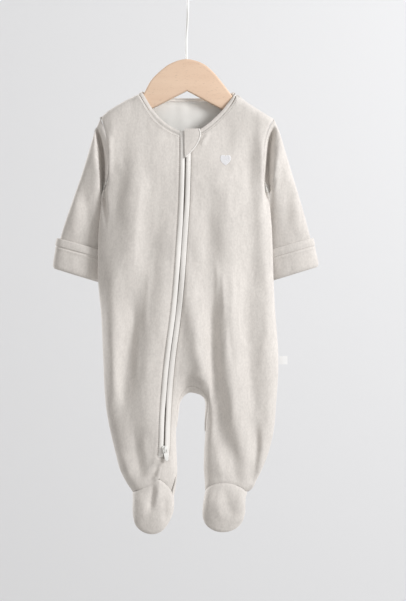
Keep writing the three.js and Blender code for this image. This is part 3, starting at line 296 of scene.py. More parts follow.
def bellied(points):
    """Points with the fullness of the cloth at the sides."""
    out = points.copy()
    for x, z, reach, by in BELLIES:
        far = np.hypot(points[:, 0] / MM - x, points[:, 2] / MM - z) / reach
        out[:, 0] += by * MM * np.exp(-(far ** 2))
    return out


def moved(points, normals, whole):
    """Points with their creases: the front's move forwards and the back's backwards, and both fade at
    the sides. A piece of the zip moves with the front as a whole."""
    out = points.copy()
    if whole:
        out[:, 1] += FRONT * lift_of(points, FRONT)
        return out
    for facing in (FRONT, BACK):
        weight = smooth((facing * normals[:, 1] - 0.1) / 0.5)
        out[:, 1] += facing * weight * lift_of(points, facing)
    return out


# Meshes


def mesh_from(bm, name):
    mesh = bpy.data.meshes.new(name)
    bm.to_mesh(mesh)
    bm.free()
    return mesh


def object_of(name, mesh):
    obj = bpy.data.objects.new(name, mesh)
    bpy.context.collection.objects.link(obj)
    return obj


def finished(obj):
    """The object's mesh with its modifiers applied."""
    graph = bpy.context.evaluated_depsgraph_get()
    mesh = bpy.data.meshes.new_from_object(obj.evaluated_get(graph))
    obj.modifiers.clear()
    obj.data = mesh
    return obj


def vectors(mesh, key):
    values = np.zeros(len(mesh.vertices) * 3, np.float32)
    mesh.vertices.foreach_get(key, values)
    return values.reshape(-1, 3).astype(float)


def set_points(mesh, points):
    mesh.vertices.foreach_set("co", points.astype(np.float32).ravel())
    mesh.update()


def smooth_shaded(mesh, degrees=50):
    mesh.polygons.foreach_set("use_smooth", [True] * len(mesh.polygons))
    mesh.set_sharp_from_angle(angle=math.radians(degrees))


def islands(faces):
    todo, found = set(faces), []
    while todo:
        stack = [todo.pop()]
        group = list(stack)
        while stack:
            for edge in stack.pop().edges:
                for face in edge.link_faces:
                    if face in todo:
                        todo.remove(face)
                        group.append(face)
                        stack.append(face)
        found.append(group)
    return sorted(found, key=len, reverse=True)


def facing_share(layer, looks, middle):
    """How much of a layer looks the way that a piece's outer face does."""
    if looks is None:
        return sum((f.normal.dot(f.calc_center_median() - middle)) * f.calc_area() for f in layer)
    return sum(f.normal.dot(Vector(looks)) * f.calc_area() for f in layer)


def outer_layer(name, wall, looks):
    """The outer face of a cloth node's wall. The faces of the wall's edge have a side just as long as the
    wall is thick; without them the wall falls apart into its two layers."""
    bm = bmesh.new()
    bm.from_mesh(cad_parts[name].data)
    bmesh.ops.remove_doubles(bm, verts=bm.verts, dist=2e-6)
    bm.normal_update()
    rims = {f for f in bm.faces if any(abs(e.calc_length() - wall * MM) < 2e-6 for e in f.edges)}
    layers = islands([f for f in bm.faces if f not in rims])[:2]
    middle = sum((v.co for v in bm.verts), Vector()) / len(bm.verts)
    layer = set(max(layers, key=lambda one: facing_share(one, looks, middle)))
    corners = {v for f in layer for v in f.verts}
    layer |= {f for f in rims if all(v in corners for v in f.verts)}
    bmesh.ops.delete(bm, geom=[f for f in bm.faces if f not in layer], context="FACES")
    bmesh.ops.join_triangles(bm, faces=bm.faces, angle_face_threshold=3.1, angle_shape_threshold=3.1)
    return mesh_from(bm, name + "_layer")


def rim_of(mesh):
    """The edges with one face only, as (corner, corner, face)."""
    owners = {}
    for polygon in mesh.polygons:
        for key in polygon.edge_keys:
            owners.setdefault(key, []).append(polygon.index)
    return [(*key, faces[0]) for key, faces in owners.items() if len(faces) == 1]


def rim_corners(mesh):
    return sorted({v for a, b, _ in rim_of(mesh) for v in (a, b)})


def spread_rim(mesh, points, by):
    """Moves the edge of a piece outwards in its own surface, so that it meets its neighbour at the seam."""
    out = np.zeros_like(points)
    for a, b, face in rim_of(mesh):
        along = points[b] - points[a]
        away = (points[a] + points[b]) / 2 - points[list(mesh.polygons[face].vertices)].mean(axis=0)
        away -= along * (away @ along) / (along @ along)
        away /= np.linalg.norm(away)
        out[a] += away
        out[b] += away
    size = np.linalg.norm(out, axis=1, keepdims=True)
    return points + by * MM * out / np.maximum(size, 1)


def tree_through(points):
    tree = KDTree(len(points))
    for i, p in enumerate(points):
        tree.insert(p, i)
    tree.balance()
    return tree


def far_from(points, corners):
    """How far each point is from the nearest of some corners, in millimetres."""
    tree = tree_through(points[corners])
    return np.array([tree.find(p)[2] for p in points]) / MM


def seam_valley(mesh, points, normals, depth, reach):
    """Sinks the cloth a little beside its edges, unevenly, as a sewn seam does."""
    far = far_from(points, rim_corners(mesh))
    uneven = 1 + 0.5 * lattice(points, 5, 9)
    sink = depth * np.clip(1 - far / reach, 0, 1) ** 2
    puff = 0.3 * depth * np.exp(-(((far - 1.6 * reach) / (0.7 * reach)) ** 2))
    return points + normals * ((puff * uneven - sink) * MM)[:, None]


def hemmed(mesh, points, normals):
    """A cuff's hem: a band along its free upper edge, with the groove of its seam below."""
    rim = rim_corners(mesh)
    middle = points[rim, 2].mean()
    far = far_from(points, [v for v in rim if points[v, 2] > middle])
    band = 0.55 * smooth((HEM - far) / 1.2) * smooth(far / 1.5 + 0.3)
    groove = -0.55 * np.exp(-(((far - HEM) / 0.8) ** 2))
    ridge = 0.5 * np.exp(-(((far - HEM - 2.2) / 1.3) ** 2)) * (1 + 0.5 * lattice(points, 6, 12))
    return points + normals * ((band + groove + ridge) * MM)[:, None]


def closed_up(points):
    """Down most of the zip, the strips' inner edges nearly hide the teeth."""
    top, foot, fade = -258, -520, 25
    level = points[:, 2] / MM
    across = points[:, 0] / MM - zip_x(level)
    inner = 1 - smooth((np.abs(across) - 1.2) / 2.5)
    middle = smooth((top - level) / fade) * smooth((level - foot) / fade)
    uneven = 0.55 + 0.25 * lattice(points, 20, 6)
    out = points.copy()
    out[:, 0] -= np.sign(across) * inner * middle * uneven * MM
    return out


def drawn_out(points):
    """The gusset with both its ends drawn out to where they run out in the inner leg seams."""
    top, start, stop, low = GUSSET_ENDS
    level = points[:, 2] / MM
    lower = np.where(level < start, start + (level - start) * (start - low) / (start - stop), level)

    def half(z):
        return GUSSET_HALF * smooth((z - low) / (top - low)) + 0.05

    zs, right, left = (np.array(row)[::-1] for row in zip(*INNER_LEGS))
    legs = np.where(points[:, 0] > 7 * MM, np.interp(lower, zs, left) - np.interp(level, zs, left),
                    np.interp(lower, zs, right) - np.interp(level, zs, right))
    below = level < start
    out = points.copy()
    out[:, 0] += np.where(below, legs * MM, 0)
    out[:, 1] *= np.where(below, half(lower) / half(level), 1)
    out[:, 2] = lower * MM
    return out


def kept_apart(mesh, before, points, normals):
    """A sleeve whose deep front folds stay clear of its back. Points that didn't fold stay where they
    were."""
    faces = [p.vertices for p in mesh.polygons if normals[list(p.vertices), 1].mean() > 0.05]
    rear = BVHTree.FromPolygons([Vector(p) for p in points], faces)
    out = points.copy()
    for i in np.flatnonzero(normals[:, 1] < -0.05):
        hit = rear.ray_cast(Vector((points[i, 0], 0.1, points[i, 2])), Vector((0, -1, 0)))[0]
        if hit is not None:
            out[i, 1] = min(out[i, 1], max(before[i, 1], hit.y - 2.8 * MM))
    return out


def layer_of(name):
    """A cloth piece's outer layer, halved and creased, before it is sewn and gets its thickness."""
    fabric = CLOTH[name]
    obj = object_of(name + "_cloth", outer_layer(name, fabric.wall, fabric.looks))
    subdivide = obj.modifiers.new("halve", "SUBSURF")
    subdivide.levels = fabric.halvings
    subdivide.render_levels = fabric.halvings
    subdivide.boundary_smooth = "PRESERVE_CORNERS"
    finished(obj)
    points = vectors(obj.data, "co")
    normals = vectors(obj.data, "normal")
    if name == "crotch_gusset":
        points = drawn_out(points)
    if fabric.sink:
        points = spread_rim(obj.data, points, SEAM_GAP)
    if name in ("front_right", "front_left", "back"):
        points = bellied(points)
    if name.startswith("zip_facing"):
        points = closed_up(points)
    before = points
    points = moved(points, normals, whole=name.startswith("zip"))
    if name.startswith("sleeve"):
        points = kept_apart(obj.data, before, points, normals)
    return obj, points, normals


def evened(moves, edges):
    """Moves averaged with those of the neighbours along a rim."""
    total, count = np.zeros_like(moves), np.zeros((len(moves), 1))
    for a, b in ((0, 1), (1, 0)):
        np.add.at(total, edges[:, a], moves[edges[:, b]])
        np.add.at(count, edges[:, a], 1)
    return 0.5 * moves + 0.5 * total / np.maximum(count, 1)


def places_along(points, edges):
    """Places along a rim, four to an edge."""
    starts, ends = points[edges[:, 0]], points[edges[:, 1]]
    return np.concatenate([starts * (1 - t) + ends * t for t in (0, 0.25, 0.5, 0.75)])


def pull_at(point, far):
    """How strongly a seam pulls there: not where the edges meet, nor where they stand far apart."""
    pull = smooth((far / MM - 0.3) / 0.4) * smooth((WIDEST_GAP - far / MM) / 2)
    for place, reach in LEFT_ALONE:
        pull *= smooth((np.linalg.norm(point / MM - place) - reach) / 6)
    return pull


def drawn_nearer(points, edges, others):
    """A piece whose rim is drawn halfway to the nearest places on the other rims."""
    near = tree_through(others)
    moves = np.zeros_like(points)
    for i in np.unique(edges):
        spot, _, far = near.find(points[i])
        moves[i] = 0.5 * pull_at(points[i], far) * (np.array(spot) - points[i])
    for _ in range(EVENINGS):
        moves = evened(moves, edges)
    return points + moves


def carried_along(points, drawn, edges):
    """The cloth beside a rim moves with it, and less the further in it is."""
    edge = np.unique(edges)
    tree = tree_through(points[edge])
    found = [tree.find(p) for p in points]
    nearest = edge[np.array([index for _, index, _ in found])]
    fade = np.exp(-((np.array([far for _, _, far in found]) / (SEAM_DRAW * MM)) ** 2))
    return points + (drawn - points)[nearest] * fade[:, None]


def sewn(layers):
    """Draws the edges of neighbouring pieces together where they stand apart."""
    rims = {name: np.array([(a, b) for a, b, _ in rim_of(layers[name][0].data)]) for name in SEWN + SEWN_TO}
    now = {name: layers[name][1].copy() for name in rims}
    for _ in range(DRAWINGS):
        along = {name: places_along(now[name], edges) for name, edges in rims.items()}
        for name in SEWN:
            others = np.concatenate([places for other, places in along.items() if other != name])
            now[name] = drawn_nearer(now[name], rims[name], others)
    for name in SEWN:
        obj, points, normals = layers[name]
        layers[name] = (obj, carried_along(points, now[name], rims[name]), normals)


def cloth(name, obj, points, normals):
    """Finishes a cloth piece: its seams, its hem, its thickness and its material."""
    fabric = CLOTH[name]
    if fabric.sink:
        points = seam_valley(obj.data, points, normals, fabric.sink, 2.4)
    if name.startswith("cuff"):
        points = hemmed(obj.data, points, normals)
    set_points(obj.data, points)
    if len(obj.data.polygons) > MOST_FACES:
        thin = obj.modifiers.new("fewer", "DECIMATE")
        thin.ratio = MOST_FACES / len(obj.data.polygons)
    shell = obj.modifiers.new("thickness", "SOLIDIFY")
    shell.thickness = fabric.thick * MM
    shell.offset = -1
    shell.material_offset = 1
    shell.material_offset_rim = 0
    obj.data.materials.append(MATERIALS[fabric.slot])
    obj.data.materials.append(MATERIALS["inside" if fabric.slot == "velour" else fabric.slot])
    finished(obj)
    smooth_shaded(obj.data)
    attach(obj, "garment")
    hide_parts(name)
    return obj


# Materials


class Nodes:
    """Short ways to add nodes to a tree and join them."""

    def __init__(self, tree):
        self.tree = tree

    def add(self, kind, **values):
        node = self.tree.nodes.new("ShaderNode" + kind)
        for key, value in values.items():
            setattr(node, key, value)
        return node

    def join(self, source, target):
        self.tree.links.new(source, target)

    def feed(self, socket, value):
        """Gives a socket a number or colour, or joins it to another socket."""
        if isinstance(value, bpy.types.NodeSocket):
            self.join(value, socket)
        else:
            socket.default_value = value

    def noise(self, scale, detail, place, stretch=(1, 1, 1), distortion=0.0):
        mapping = self.add("Mapping")
        mapping.inputs["Scale"].default_value = stretch
        self.join(place, mapping.inputs["Vector"])
        node = self.add("TexNoise")
        self.feed(node.inputs["Scale"], scale)
        node.inputs["Detail"].default_value = detail
        node.inputs["Distortion"].default_value = distortion
        self.join(mapping.outputs["Vector"], node.inputs["Vector"])
        return node.outputs["Fac"]

    def range(self, source, low, high, from_low=0.3, from_high=0.7):
        node = self.add("MapRange")
        node.inputs["From Min"].default_value = from_low
        node.inputs["From Max"].default_value = from_high
        self.feed(node.inputs["To Min"], low)
        self.feed(node.inputs["To Max"], high)
        self.join(source, node.inputs["Value"])
        return node.outputs["Result"]

    def maths(self, operation, a, b):
        node = self.add("Math", operation=operation)
        self.feed(node.inputs[0], a)
        self.feed(node.inputs[1], b)
        return node.outputs[0]

    def tint(self, colour, factor):
        """The colour made lighter or darker by a factor."""
        node = self.add("VectorMath", operation="SCALE")
        self.feed(node.inputs[0], colour)
        self.join(factor, node.inputs["Scale"])
        return node.outputs[0]

    def bump(self, height, distance, strength=1.0, under=None):
        node = self.add("Bump")
        node.inputs["Strength"].default_value = strength
        node.inputs["Distance"].default_value = distance
        self.join(height, node.inputs["Height"])
        if under is not None:
            self.join(under, node.inputs["Normal"])
        return node.outputs["Normal"]

    def place(self):
        return self.add("TexCoord").outputs["Object"]


class Effect(Nodes):
    """A node group that several materials share. It gives a colour and a normal."""

    def __init__(self, name, size_name, size):
        super().__init__(bpy.data.node_groups.new(name, "ShaderNodeTree"))
        sockets = self.tree.interface
        sockets.new_socket(name="Colour", in_out="INPUT", socket_type="NodeSocketColor")
        number = sockets.new_socket(name=size_name, in_out="INPUT", socket_type="NodeSocketFloat")
        number.default_value = size
        sockets.new_socket(name="Colour", in_out="OUTPUT", socket_type="NodeSocketColor")
        sockets.new_socket(name="Normal", in_out="OUTPUT", socket_type="NodeSocketVector")
        self.given = self.tree.nodes.new("NodeGroupInput").outputs
        self.gives = self.tree.nodes.new("NodeGroupOutput").inputs


class Shader(Nodes):
    """A material's nodes."""

    def __init__(self, name):
        self.material = bpy.data.materials.new(name)
        self.material.use_nodes = True
        super().__init__(self.material.node_tree)
        self.surface = self.tree.nodes["Principled BSDF"]

    def use(self, effect, colour, **sizes):
        """Places a shared effect, and joins what it gives to the surface."""
        node = self.add("Group")
        node.node_tree = effect.tree
        node.inputs["Colour"].default_value = (*colour, 1)
        for key, value in sizes.items():
            node.inputs[key].default_value = value
        self.join(node.outputs["Colour"], self.surface.inputs["Base Color"])
        self.join(node.outputs["Normal"], self.surface.inputs["Normal"])


def velour(name, colour):
    """Short pile: soft patches where the nap lies another way, a fine grain, and a pale sheen at grazing
    angles:
    the surface's own sheen, and a painted sheen that lightens its colour where it turns away."""
    s = Shader(name)
    place = s.place()
    patches = s.range(s.noise(16, 3, place, (1, 1, 0.5), 0.4), 0.96, 1.04)
    marks = s.range(s.noise(80, 5, place, (1, 1, 0.28), 1.4), 0.94, 1.05)
    grain = s.range(s.noise(520, 4, place, (1, 1, 0.6)), 0.925, 1.06)
    factor = s.maths("MULTIPLY", s.maths("MULTIPLY", patches, marks), grain)
    # Painted sheen: the colour is made up to 22% lighter as the surface turns away from the viewer.
    edge = s.add("LayerWeight")
    edge.inputs["Blend"].default_value = 0.25
    lighter = s.range(edge.outputs["Facing"], 1.0, 1.22, 0.15, 0.9)
    s.join(s.tint(colour, s.maths("MULTIPLY", factor, lighter)), s.surface.inputs["Base Color"])
    fine = s.bump(s.noise(1500, 3, place), 0.00035, 0.5)
    soft = s.bump(s.noise(240, 3, place, (1, 1, 0.6)), 0.0005, 0.35, fine)
    s.join(soft, s.surface.inputs["Normal"])
    s.surface.inputs["Roughness"].default_value = 0.95
    s.surface.inputs["Specular IOR Level"].default_value = 0.15
    s.surface.inputs["Sheen Weight"].default_value = 0.55
    s.surface.inputs["Sheen Roughness"].default_value = 0.45
    s.surface.inputs["Sheen Tint"].default_value = (1, 0.985, 0.96, 1)
    return s.material


def knit_effect():
    """A fine plain knit, with its columns along Z."""
    e = Effect("plain_knit", "Columns", 400)
    place = e.place()
    e.join(e.tint(e.given["Colour"], e.range(e.noise(40, 3, place), 0.96, 1.04)), e.gives["Colour"])
    wave = e.add("TexWave", wave_type="BANDS", bands_direction="X")
    wave.inputs["Distortion"].default_value = 0.6
    wave.inputs["Detail"].default_value = 2
    e.join(e.given["Columns"], wave.inputs["Scale"])
    e.join(place, wave.inputs["Vector"])
    e.join(e.bump(wave.outputs["Fac"], 0.0002, 0.35), e.gives["Normal"])
    return e


def twist_effect():
    """The twist of a sewing thread."""
    e = Effect("thread_twist", "Fineness", 2600)
    twist = e.noise(e.given["Fineness"], 2, e.place(), (1, 1, 0.4))
    e.join(e.tint(e.given["Colour"], e.range(twist, 0.9, 1.08)), e.gives["Colour"])
    e.join(e.bump(twist, 0.0001, 0.5), e.gives["Normal"])
    return e


def moulding_effect():
    """The faint unevenness of moulded plastic and of painted wire."""
    e = Effect("moulded_skin", "Fineness", 900)
    place = e.place()
    e.join(e.tint(e.given["Colour"], e.range(e.noise(300, 2, place), 0.97, 1.02)), e.gives["Colour"])
    e.join(e.bump(e.noise(e.given["Fineness"], 2, place), 0.00005, 0.3), e.gives["Normal"])
    return e


KNIT, TWIST, MOULDING = knit_effect(), twist_effect(), moulding_effect()


def knit(name, colour, columns):
    s = Shader(name)
    s.use(KNIT, colour, Columns=columns)
    s.surface.inputs["Roughness"].default_value = 0.9
    s.surface.inputs["Specular IOR Level"].default_value = 0.2
    s.surface.inputs["Sheen Weight"].default_value = 0.25
    return s.material


def thread(name, colour, fineness=2600, roughness=0.6):
    s = Shader(name)
    s.use(TWIST, colour, Fineness=fineness)
    s.surface.inputs["Roughness"].default_value = roughness
    s.surface.inputs["Sheen Weight"].default_value = 0.3
    return s.material


def moulded(name, colour, roughness, fineness=900):
    s = Shader(name)
    s.use(MOULDING, colour, Fineness=fineness)
    s.surface.inputs["Roughness"].default_value = roughness
    return s.material


def beech(name):
    """Pale beech with its grain along X and short dark flecks."""
    s = Shader(name)
    place = s.place()
    broad = s.noise(14, 4, place, (0.35, 1, 1), 0.6)
    streaks = s.noise(120, 4, place, (0.06, 1, 1), 0.3)
    ramp = s.add("ValToRGB")
    ramp.color_ramp.elements[0].position = 0.3
    ramp.color_ramp.elements[0].color = (0.70, 0.50, 0.365, 1)
    ramp.color_ramp.elements[1].position = 0.72
    ramp.color_ramp.elements[1].color = (0.82, 0.63, 0.48, 1)
    mixed = s.maths("ADD", s.maths("MULTIPLY", broad, 0.55), s.maths("MULTIPLY", streaks, 0.45))
    s.join(mixed, ramp.inputs["Fac"])
    flecks = s.range(s.noise(900, 1, place, (0.35, 1, 1)), 1.0, 0.88, 0.62, 0.72)
    s.join(s.tint(ramp.outputs["Color"], flecks), s.surface.inputs["Base Color"])
    s.join(s.bump(streaks, 0.0002, 0.25), s.surface.inputs["Normal"])
    s.surface.inputs["Roughness"].default_value = 0.55
    s.surface.inputs["Specular IOR Level"].default_value = 0.35
    return s.material


VELOUR = (0.67, 0.637, 0.605)
MATERIALS = {
    "velour": velour("velour", VELOUR),
    "inside": knit("inside", (0.80, 0.79, 0.765), 380),
    "strip": knit("strip", (0.80, 0.78, 0.755), 420),
    "tape": knit("tape", (0.42, 0.385, 0.345), 520),
    "label": knit("label", (0.86, 0.86, 0.86), 600),
    "plastic": moulded("plastic", (0.82, 0.82, 0.80), 0.35),
    "teeth": moulded("teeth", (0.55, 0.52, 0.48), 0.45, 1400),
    "thread": thread("thread", (0.66, 0.63, 0.585)),
    # Darker thread for the stitches by the zip and the neck: real stitches, with the shade of their seam
    # grooves painted into their colour.
    "seam_thread": thread("seam_thread", (0.40, 0.37, 0.335)),
    "embroidery": thread("embroidery", (0.90, 0.90, 0.92), 1900, 0.45),
    "wood": beech("wood"),
    "wire": moulded("wire", (0.86, 0.87, 0.86), 0.3),
}

LAYERS = {name: layer_of(name) for name in CLOTH}
sewn(LAYERS)
PIECES = {name: cloth(name, *layer) for name, layer in LAYERS.items()}

# Looking up places on the cloth


def tree_of(*names):
    points, faces = [], []
    for name in names:
        mesh = PIECES[name].data
        start = len(points)
        points += [v.co.copy() for v in mesh.vertices]
        faces += [[start + v for v in p.vertices] for p in mesh.polygons]
    return BVHTree.FromPolygons(points, faces)


FRONT_TREE = tree_of("front_right", "front_left")
BACK_TREE = tree_of("back")
STRIP_TREE = tree_of("zip_facing_right", "zip_facing_left", "front_right", "front_left")


def on_cloth(tree, x, z, facing, proud):
    """The place on the cloth at x and z (millimetres) that the viewer in front (or behind) sees, and its
    normal."""
    start = Vector((x * MM, facing * 0.3, z * MM))
    hit, normal, _, _ = tree.ray_cast(start, Vector((0, -facing, 0)))
    if hit is None:
        hit, normal, _, _ = tree.find_nearest(Vector((x * MM, facing * 0.01, z * MM)))
    if normal.y * facing < 0:
        normal = -normal
    return hit + normal * proud * MM, normal


def bead(start, end, up, half, high):
    """Where one stitch or tooth lies: a small long ball from start to end, half wide and high, in
    millimetres."""
    along = (end - start) / 2
    across = along.cross(up).normalized() * half * MM
    matrix = Matrix((across, up * high * MM, along)).transposed().to_4x4()
    matrix.translation = (start + end) / 2
    return matrix


def small_ball():
    """A ball drawn out at its ends, so that a row of them looks like thread."""
    bm = bmesh.new()
    bmesh.ops.create_uvsphere(bm, u_segments=6, v_segments=5, radius=1)
    for v in bm.verts:
        side = math.hypot(v.co.x, v.co.y)
        fuller = math.sqrt(1 - v.co.z ** 4) / side if side > 0.01 else 1
        v.co.x *= fuller
        v.co.y *= fuller
    return mesh_from(bm, "ball")


def dressed(obj, material, body="garment"):
    """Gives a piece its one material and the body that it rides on."""
    obj.data.materials.clear()
    obj.data.materials.append(MATERIALS[material])
    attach(obj, body)
    return obj


def beads(name, places, material):
    """One piece from many small balls: one ball is made, and copied to each place."""
    ball = small_ball()
    bm = bmesh.new()
    for place in places:
        made = len(bm.verts)
        bm.from_mesh(ball)
        bm.verts.ensure_lookup_table()
        bmesh.ops.transform(bm, matrix=place, verts=bm.verts[made:])
    mesh = mesh_from(bm, name)
    smooth_shaded(mesh)
    return dressed(object_of(name, mesh), material)


def evenly(places, step):
    """Places and normals along a line, step millimetres apart."""
    points = [p for p, _ in places]
    far = np.concatenate([[0], np.cumsum([(b - a).length for a, b in zip(points, points[1:])])])
    count = max(2, int(far[-1] / (step * MM)))
    at = np.linspace(0, far[-1], count + 1)
    line = np.stack([np.interp(at, far, [p[k] for p in points]) for k in range(3)], axis=1)
    ups = np.stack([np.interp(at, far, [n[k] for _, n in places]) for k in range(3)], axis=1)
    return [(Vector(p), Vector(n).normalized()) for p, n in zip(line, ups)]


def between(a, b, start, end, t):
    """The point at t on the line that is at a at start, and at b at end."""
    return a * ((end - t) / (end - start)) + b * ((t - start) / (end - start))


def span_through(p0, p1, p2, p3, count):
    """Points on the stretch from p1 to p2 of a smooth line through all four."""
    k0 = 0.0
    k1 = k0 + max(1e-6, (p1 - p0).length) ** 0.5
    k2 = k1 + max(1e-6, (p2 - p1).length) ** 0.5
    k3 = k2 + max(1e-6, (p3 - p2).length) ** 0.5
    span = []
    for step in range(count):
        t = k1 + (k2 - k1) * step / count
        a1, a2, a3 = between(p0, p1, k0, k1, t), between(p1, p2, k1, k2, t), between(p2, p3, k2, k3, t)
        b1, b2 = between(a1, a2, k0, k2, t), between(a2, a3, k1, k3, t)
        span.append(between(b1, b2, k1, k2, t))
    return span


def curve_through(points, per_span):
    """A smooth line through points, with no loops where they lie close together."""
    pts = [Vector(p) for p in points]
    pts = [2 * pts[0] - pts[1], *pts, 2 * pts[-1] - pts[-2]]
    line = []
    for i in range(1, len(pts) - 2):
        line += span_through(*pts[i - 1:i + 3], per_span)
    line.append(pts[-2])
    return line


def stitches(name, lines, material, step, length, half=0.28, high=0.24):
    """One piece from the stitches along some lines: a new one at every step."""
    places = []
    for line in lines:
        spaced = evenly(line, step)
        for (a, up), (b, _) in zip(spaced, spaced[1:]):
            places.append(bead(a, a.lerp(b, length / step), up, half, high))
    return beads(name, places, material)


def round_length(name, points, radii, material):
    """A round length of piping or wire through points in metres, with its radius at each in millimetres."""
    curve = bpy.data.curves.new(name, "CURVE")
    curve.dimensions = "3D"
    curve.bevel_depth = MM
    curve.bevel_resolution = 4
    curve.use_fill_caps = True
    spline = curve.splines.new("POLY")
    spline.points.add(len(points) - 1)
    for spot, p, radius in zip(spline.points, points, radii):
        spot.co = (*p, 1)
        spot.radius = radius
    maker = object_of(name + "_maker", curve)
    graph = bpy.context.evaluated_depsgraph_get()
    mesh = bpy.data.meshes.new_from_object(maker.evaluated_get(graph))
    bpy.data.objects.remove(maker)
    smooth_shaded(mesh)
    return dressed(object_of(name, mesh), material)


def bevelled(obj, width, segments, degrees):
    """An object with its edges rounded where its faces turn by more than some degrees."""
    bevel = obj.modifiers.new("edges", "BEVEL")
    bevel.width = width * MM
    bevel.segments = segments
    bevel.limit_method = "ANGLE"
    bevel.angle_limit = math.radians(degrees)
    return finished(obj)


def thin_piece(name, mesh, thickness):
    """A small piece of the garment's cloth, as thick to one side of its mesh as to the other."""
    obj = object_of(name, mesh)
    shell = obj.modifiers.new("thickness", "SOLIDIFY")
    shell.thickness = thickness * MM
    shell.offset = 0
    finished(obj)
    smooth_shaded(obj.data)
    return dressed(obj, "velour")


# The zip


def zip_line(offset, top, foot, proud):
    """A line down the cloth beside the zip, at an offset from its middle."""
    return [on_cloth(STRIP_TREE, zip_x(z) + offset, z, FRONT, proud) for z in np.arange(top, foot, -4)]


def zip_rows(far, tops, foot, proud):
    """The lines on both sides of the zip. The left one starts lower, below the flap."""
    return [zip_line(-far, tops[0], foot, proud), zip_line(far, tops[1], foot, proud)]


def make_teeth():
    """Two rows of small teeth between the strips, half a pitch apart."""
    tree = tree_of("zip_tape")
    top, foot, pitch = -172, -568, 1.5
    places = []
    for i, z in enumerate(np.arange(top, foot, -pitch / 2)):
        middle, up = on_cloth(tree, zip_x(z), z, FRONT, 0.45)
        reach = Vector((MM if i % 2 else -MM, 0, 0))
        places.append(bead(middle - reach * 0.35, middle + reach * 1.5, up, 0.34, 0.5))
    return beads("zip_teeth", places, "teeth")


def moulded_copy(name, body, width):
    """A CAD piece of moulded plastic with its edges rounded."""
    obj = object_of(name + "_smooth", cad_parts[name].data.copy())
    bm = bmesh.new()
    bm.from_mesh(obj.data)
    bmesh.ops.remove_doubles(bm, verts=bm.verts, dist=2e-6)
    bmesh.ops.dissolve_limit(bm, angle_limit=math.radians(3), verts=bm.verts, edges=bm.edges)
    bm.to_mesh(obj.data)
    bm.free()
    bevelled(obj, width, 3, 35)
    smooth_shaded(obj.data, 40)
    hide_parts(name)
    return dressed(obj, "plastic", body)


def heart_spans(level):
    """Where a heart, 2.3 wide, is crossed at a height between -1 and 1.2: pairs of left and right."""
    spans, start = [], None
    for x in np.linspace(-1.2, 1.2, 121):
        inside = (x * x + level * level - 1) ** 3 - x * x * level ** 3 < 0
        if inside and start is None:
            start = x
        if not inside and start is not None:
            spans.append((start, x))
            start = None
    return spans


def make_motif():
    """A small plain heart in satin stitch on the left chest, in rows of thread side by side."""
    places = []
    middle_x, middle_z, size, row, longest, stagger = 48, -205.5, 6.0, 0.3, 2.4, 0.28
    for i in range(round(-size / row), round(1.2 * size / row)):
        for left, right in heart_spans(i * row / size):
            count = max(2, round((right - left) * size / longest))
            inside = (np.arange(1, count) + (stagger if i % 2 else -stagger)) / count
            across = left + (right - left) * np.array([0, *inside, 1])
            line = [on_cloth(FRONT_TREE, middle_x + x * size, middle_z + i * row, FRONT, 0.12)
                    for x in across]
            for (a, up), (b, _) in zip(line, line[1:]):
                places.append(bead(a, b, up, 0.22, 0.4))
    return beads("chest_heart", places, "embroidery")


def make_guard_piping():
    """The light bound edge of the small flap."""
    edge = [(15.4, -166), (17.2, -171.6), (16.4, -177), (14.2, -182.5), (11.2, -187.5), (7.4, -192.5),
            (3.0, -197.5), (-0.9, -201.2)]
    tree = tree_of("zip_guard")
    outline = curve_through([(x, 0, z) for x, z in edge], 6)
    points = [on_cloth(tree, p.x - 0.6, p.z + 0.4, FRONT, -0.1)[0] for p in outline]
    return round_length("guard_piping", points, [0.85] * len(points), "strip")


def make_seam_allowance():
    """The turned in edges behind the short seam between the zip's foot and the ankle."""
    middle, half_length, half_width = -587, 19, 4.5
    bm = bmesh.new()
    bmesh.ops.create_grid(bm, x_segments=4, y_segments=12, size=1)
    for v in bm.verts:
        level = middle + half_length * v.co.y
        x = zip_x(level) + half_width * v.co.x
        v.co = on_cloth(FRONT_TREE, x, level, FRONT, -1.5 - 0.6 * (1 - abs(v.co.x)))[0]
    bmesh.ops.recalc_face_normals(bm, faces=bm.faces)
    return thin_piece("seam_allowance", mesh_from(bm, "seam_allowance"), 0.9)


def make_ankle_piece():
    """The small piece let in at the right leg's inner ankle, under the edges of the leg and the foot."""
    half_length, fullness, sunk, roundness = 22, 8.5, 0.8, 0.022
    bm = bmesh.new()
    bmesh.ops.create_grid(bm, x_segments=10, y_segments=24, size=1)
    zs, xs = zip(*ANKLE_LINE)
    for v in bm.verts:
        level = ANKLE[2] + half_length * v.co.y
        side = v.co.x * (1 + fullness * math.sqrt(1 - min(1, abs(v.co.y)) ** 1.6))
        v.co = Vector((np.interp(level, zs, xs) - sunk - roundness * side * side, side, level)) * MM
    bmesh.ops.recalc_face_normals(bm, faces=bm.faces)
    piece = thin_piece("ankle_piece", mesh_from(bm, "ankle_piece"), 1.1)


def neck_line(facing, outline):
    """The line of stitches just below the neck's bound edge, on the front or the back."""
    tree = FRONT_TREE if facing == FRONT else BACK_TREE
    line = curve_through([(x, 0, z) for x, z in outline], 8)
    return [on_cloth(tree, p.x, p.z, facing, 0.05) for p in line]


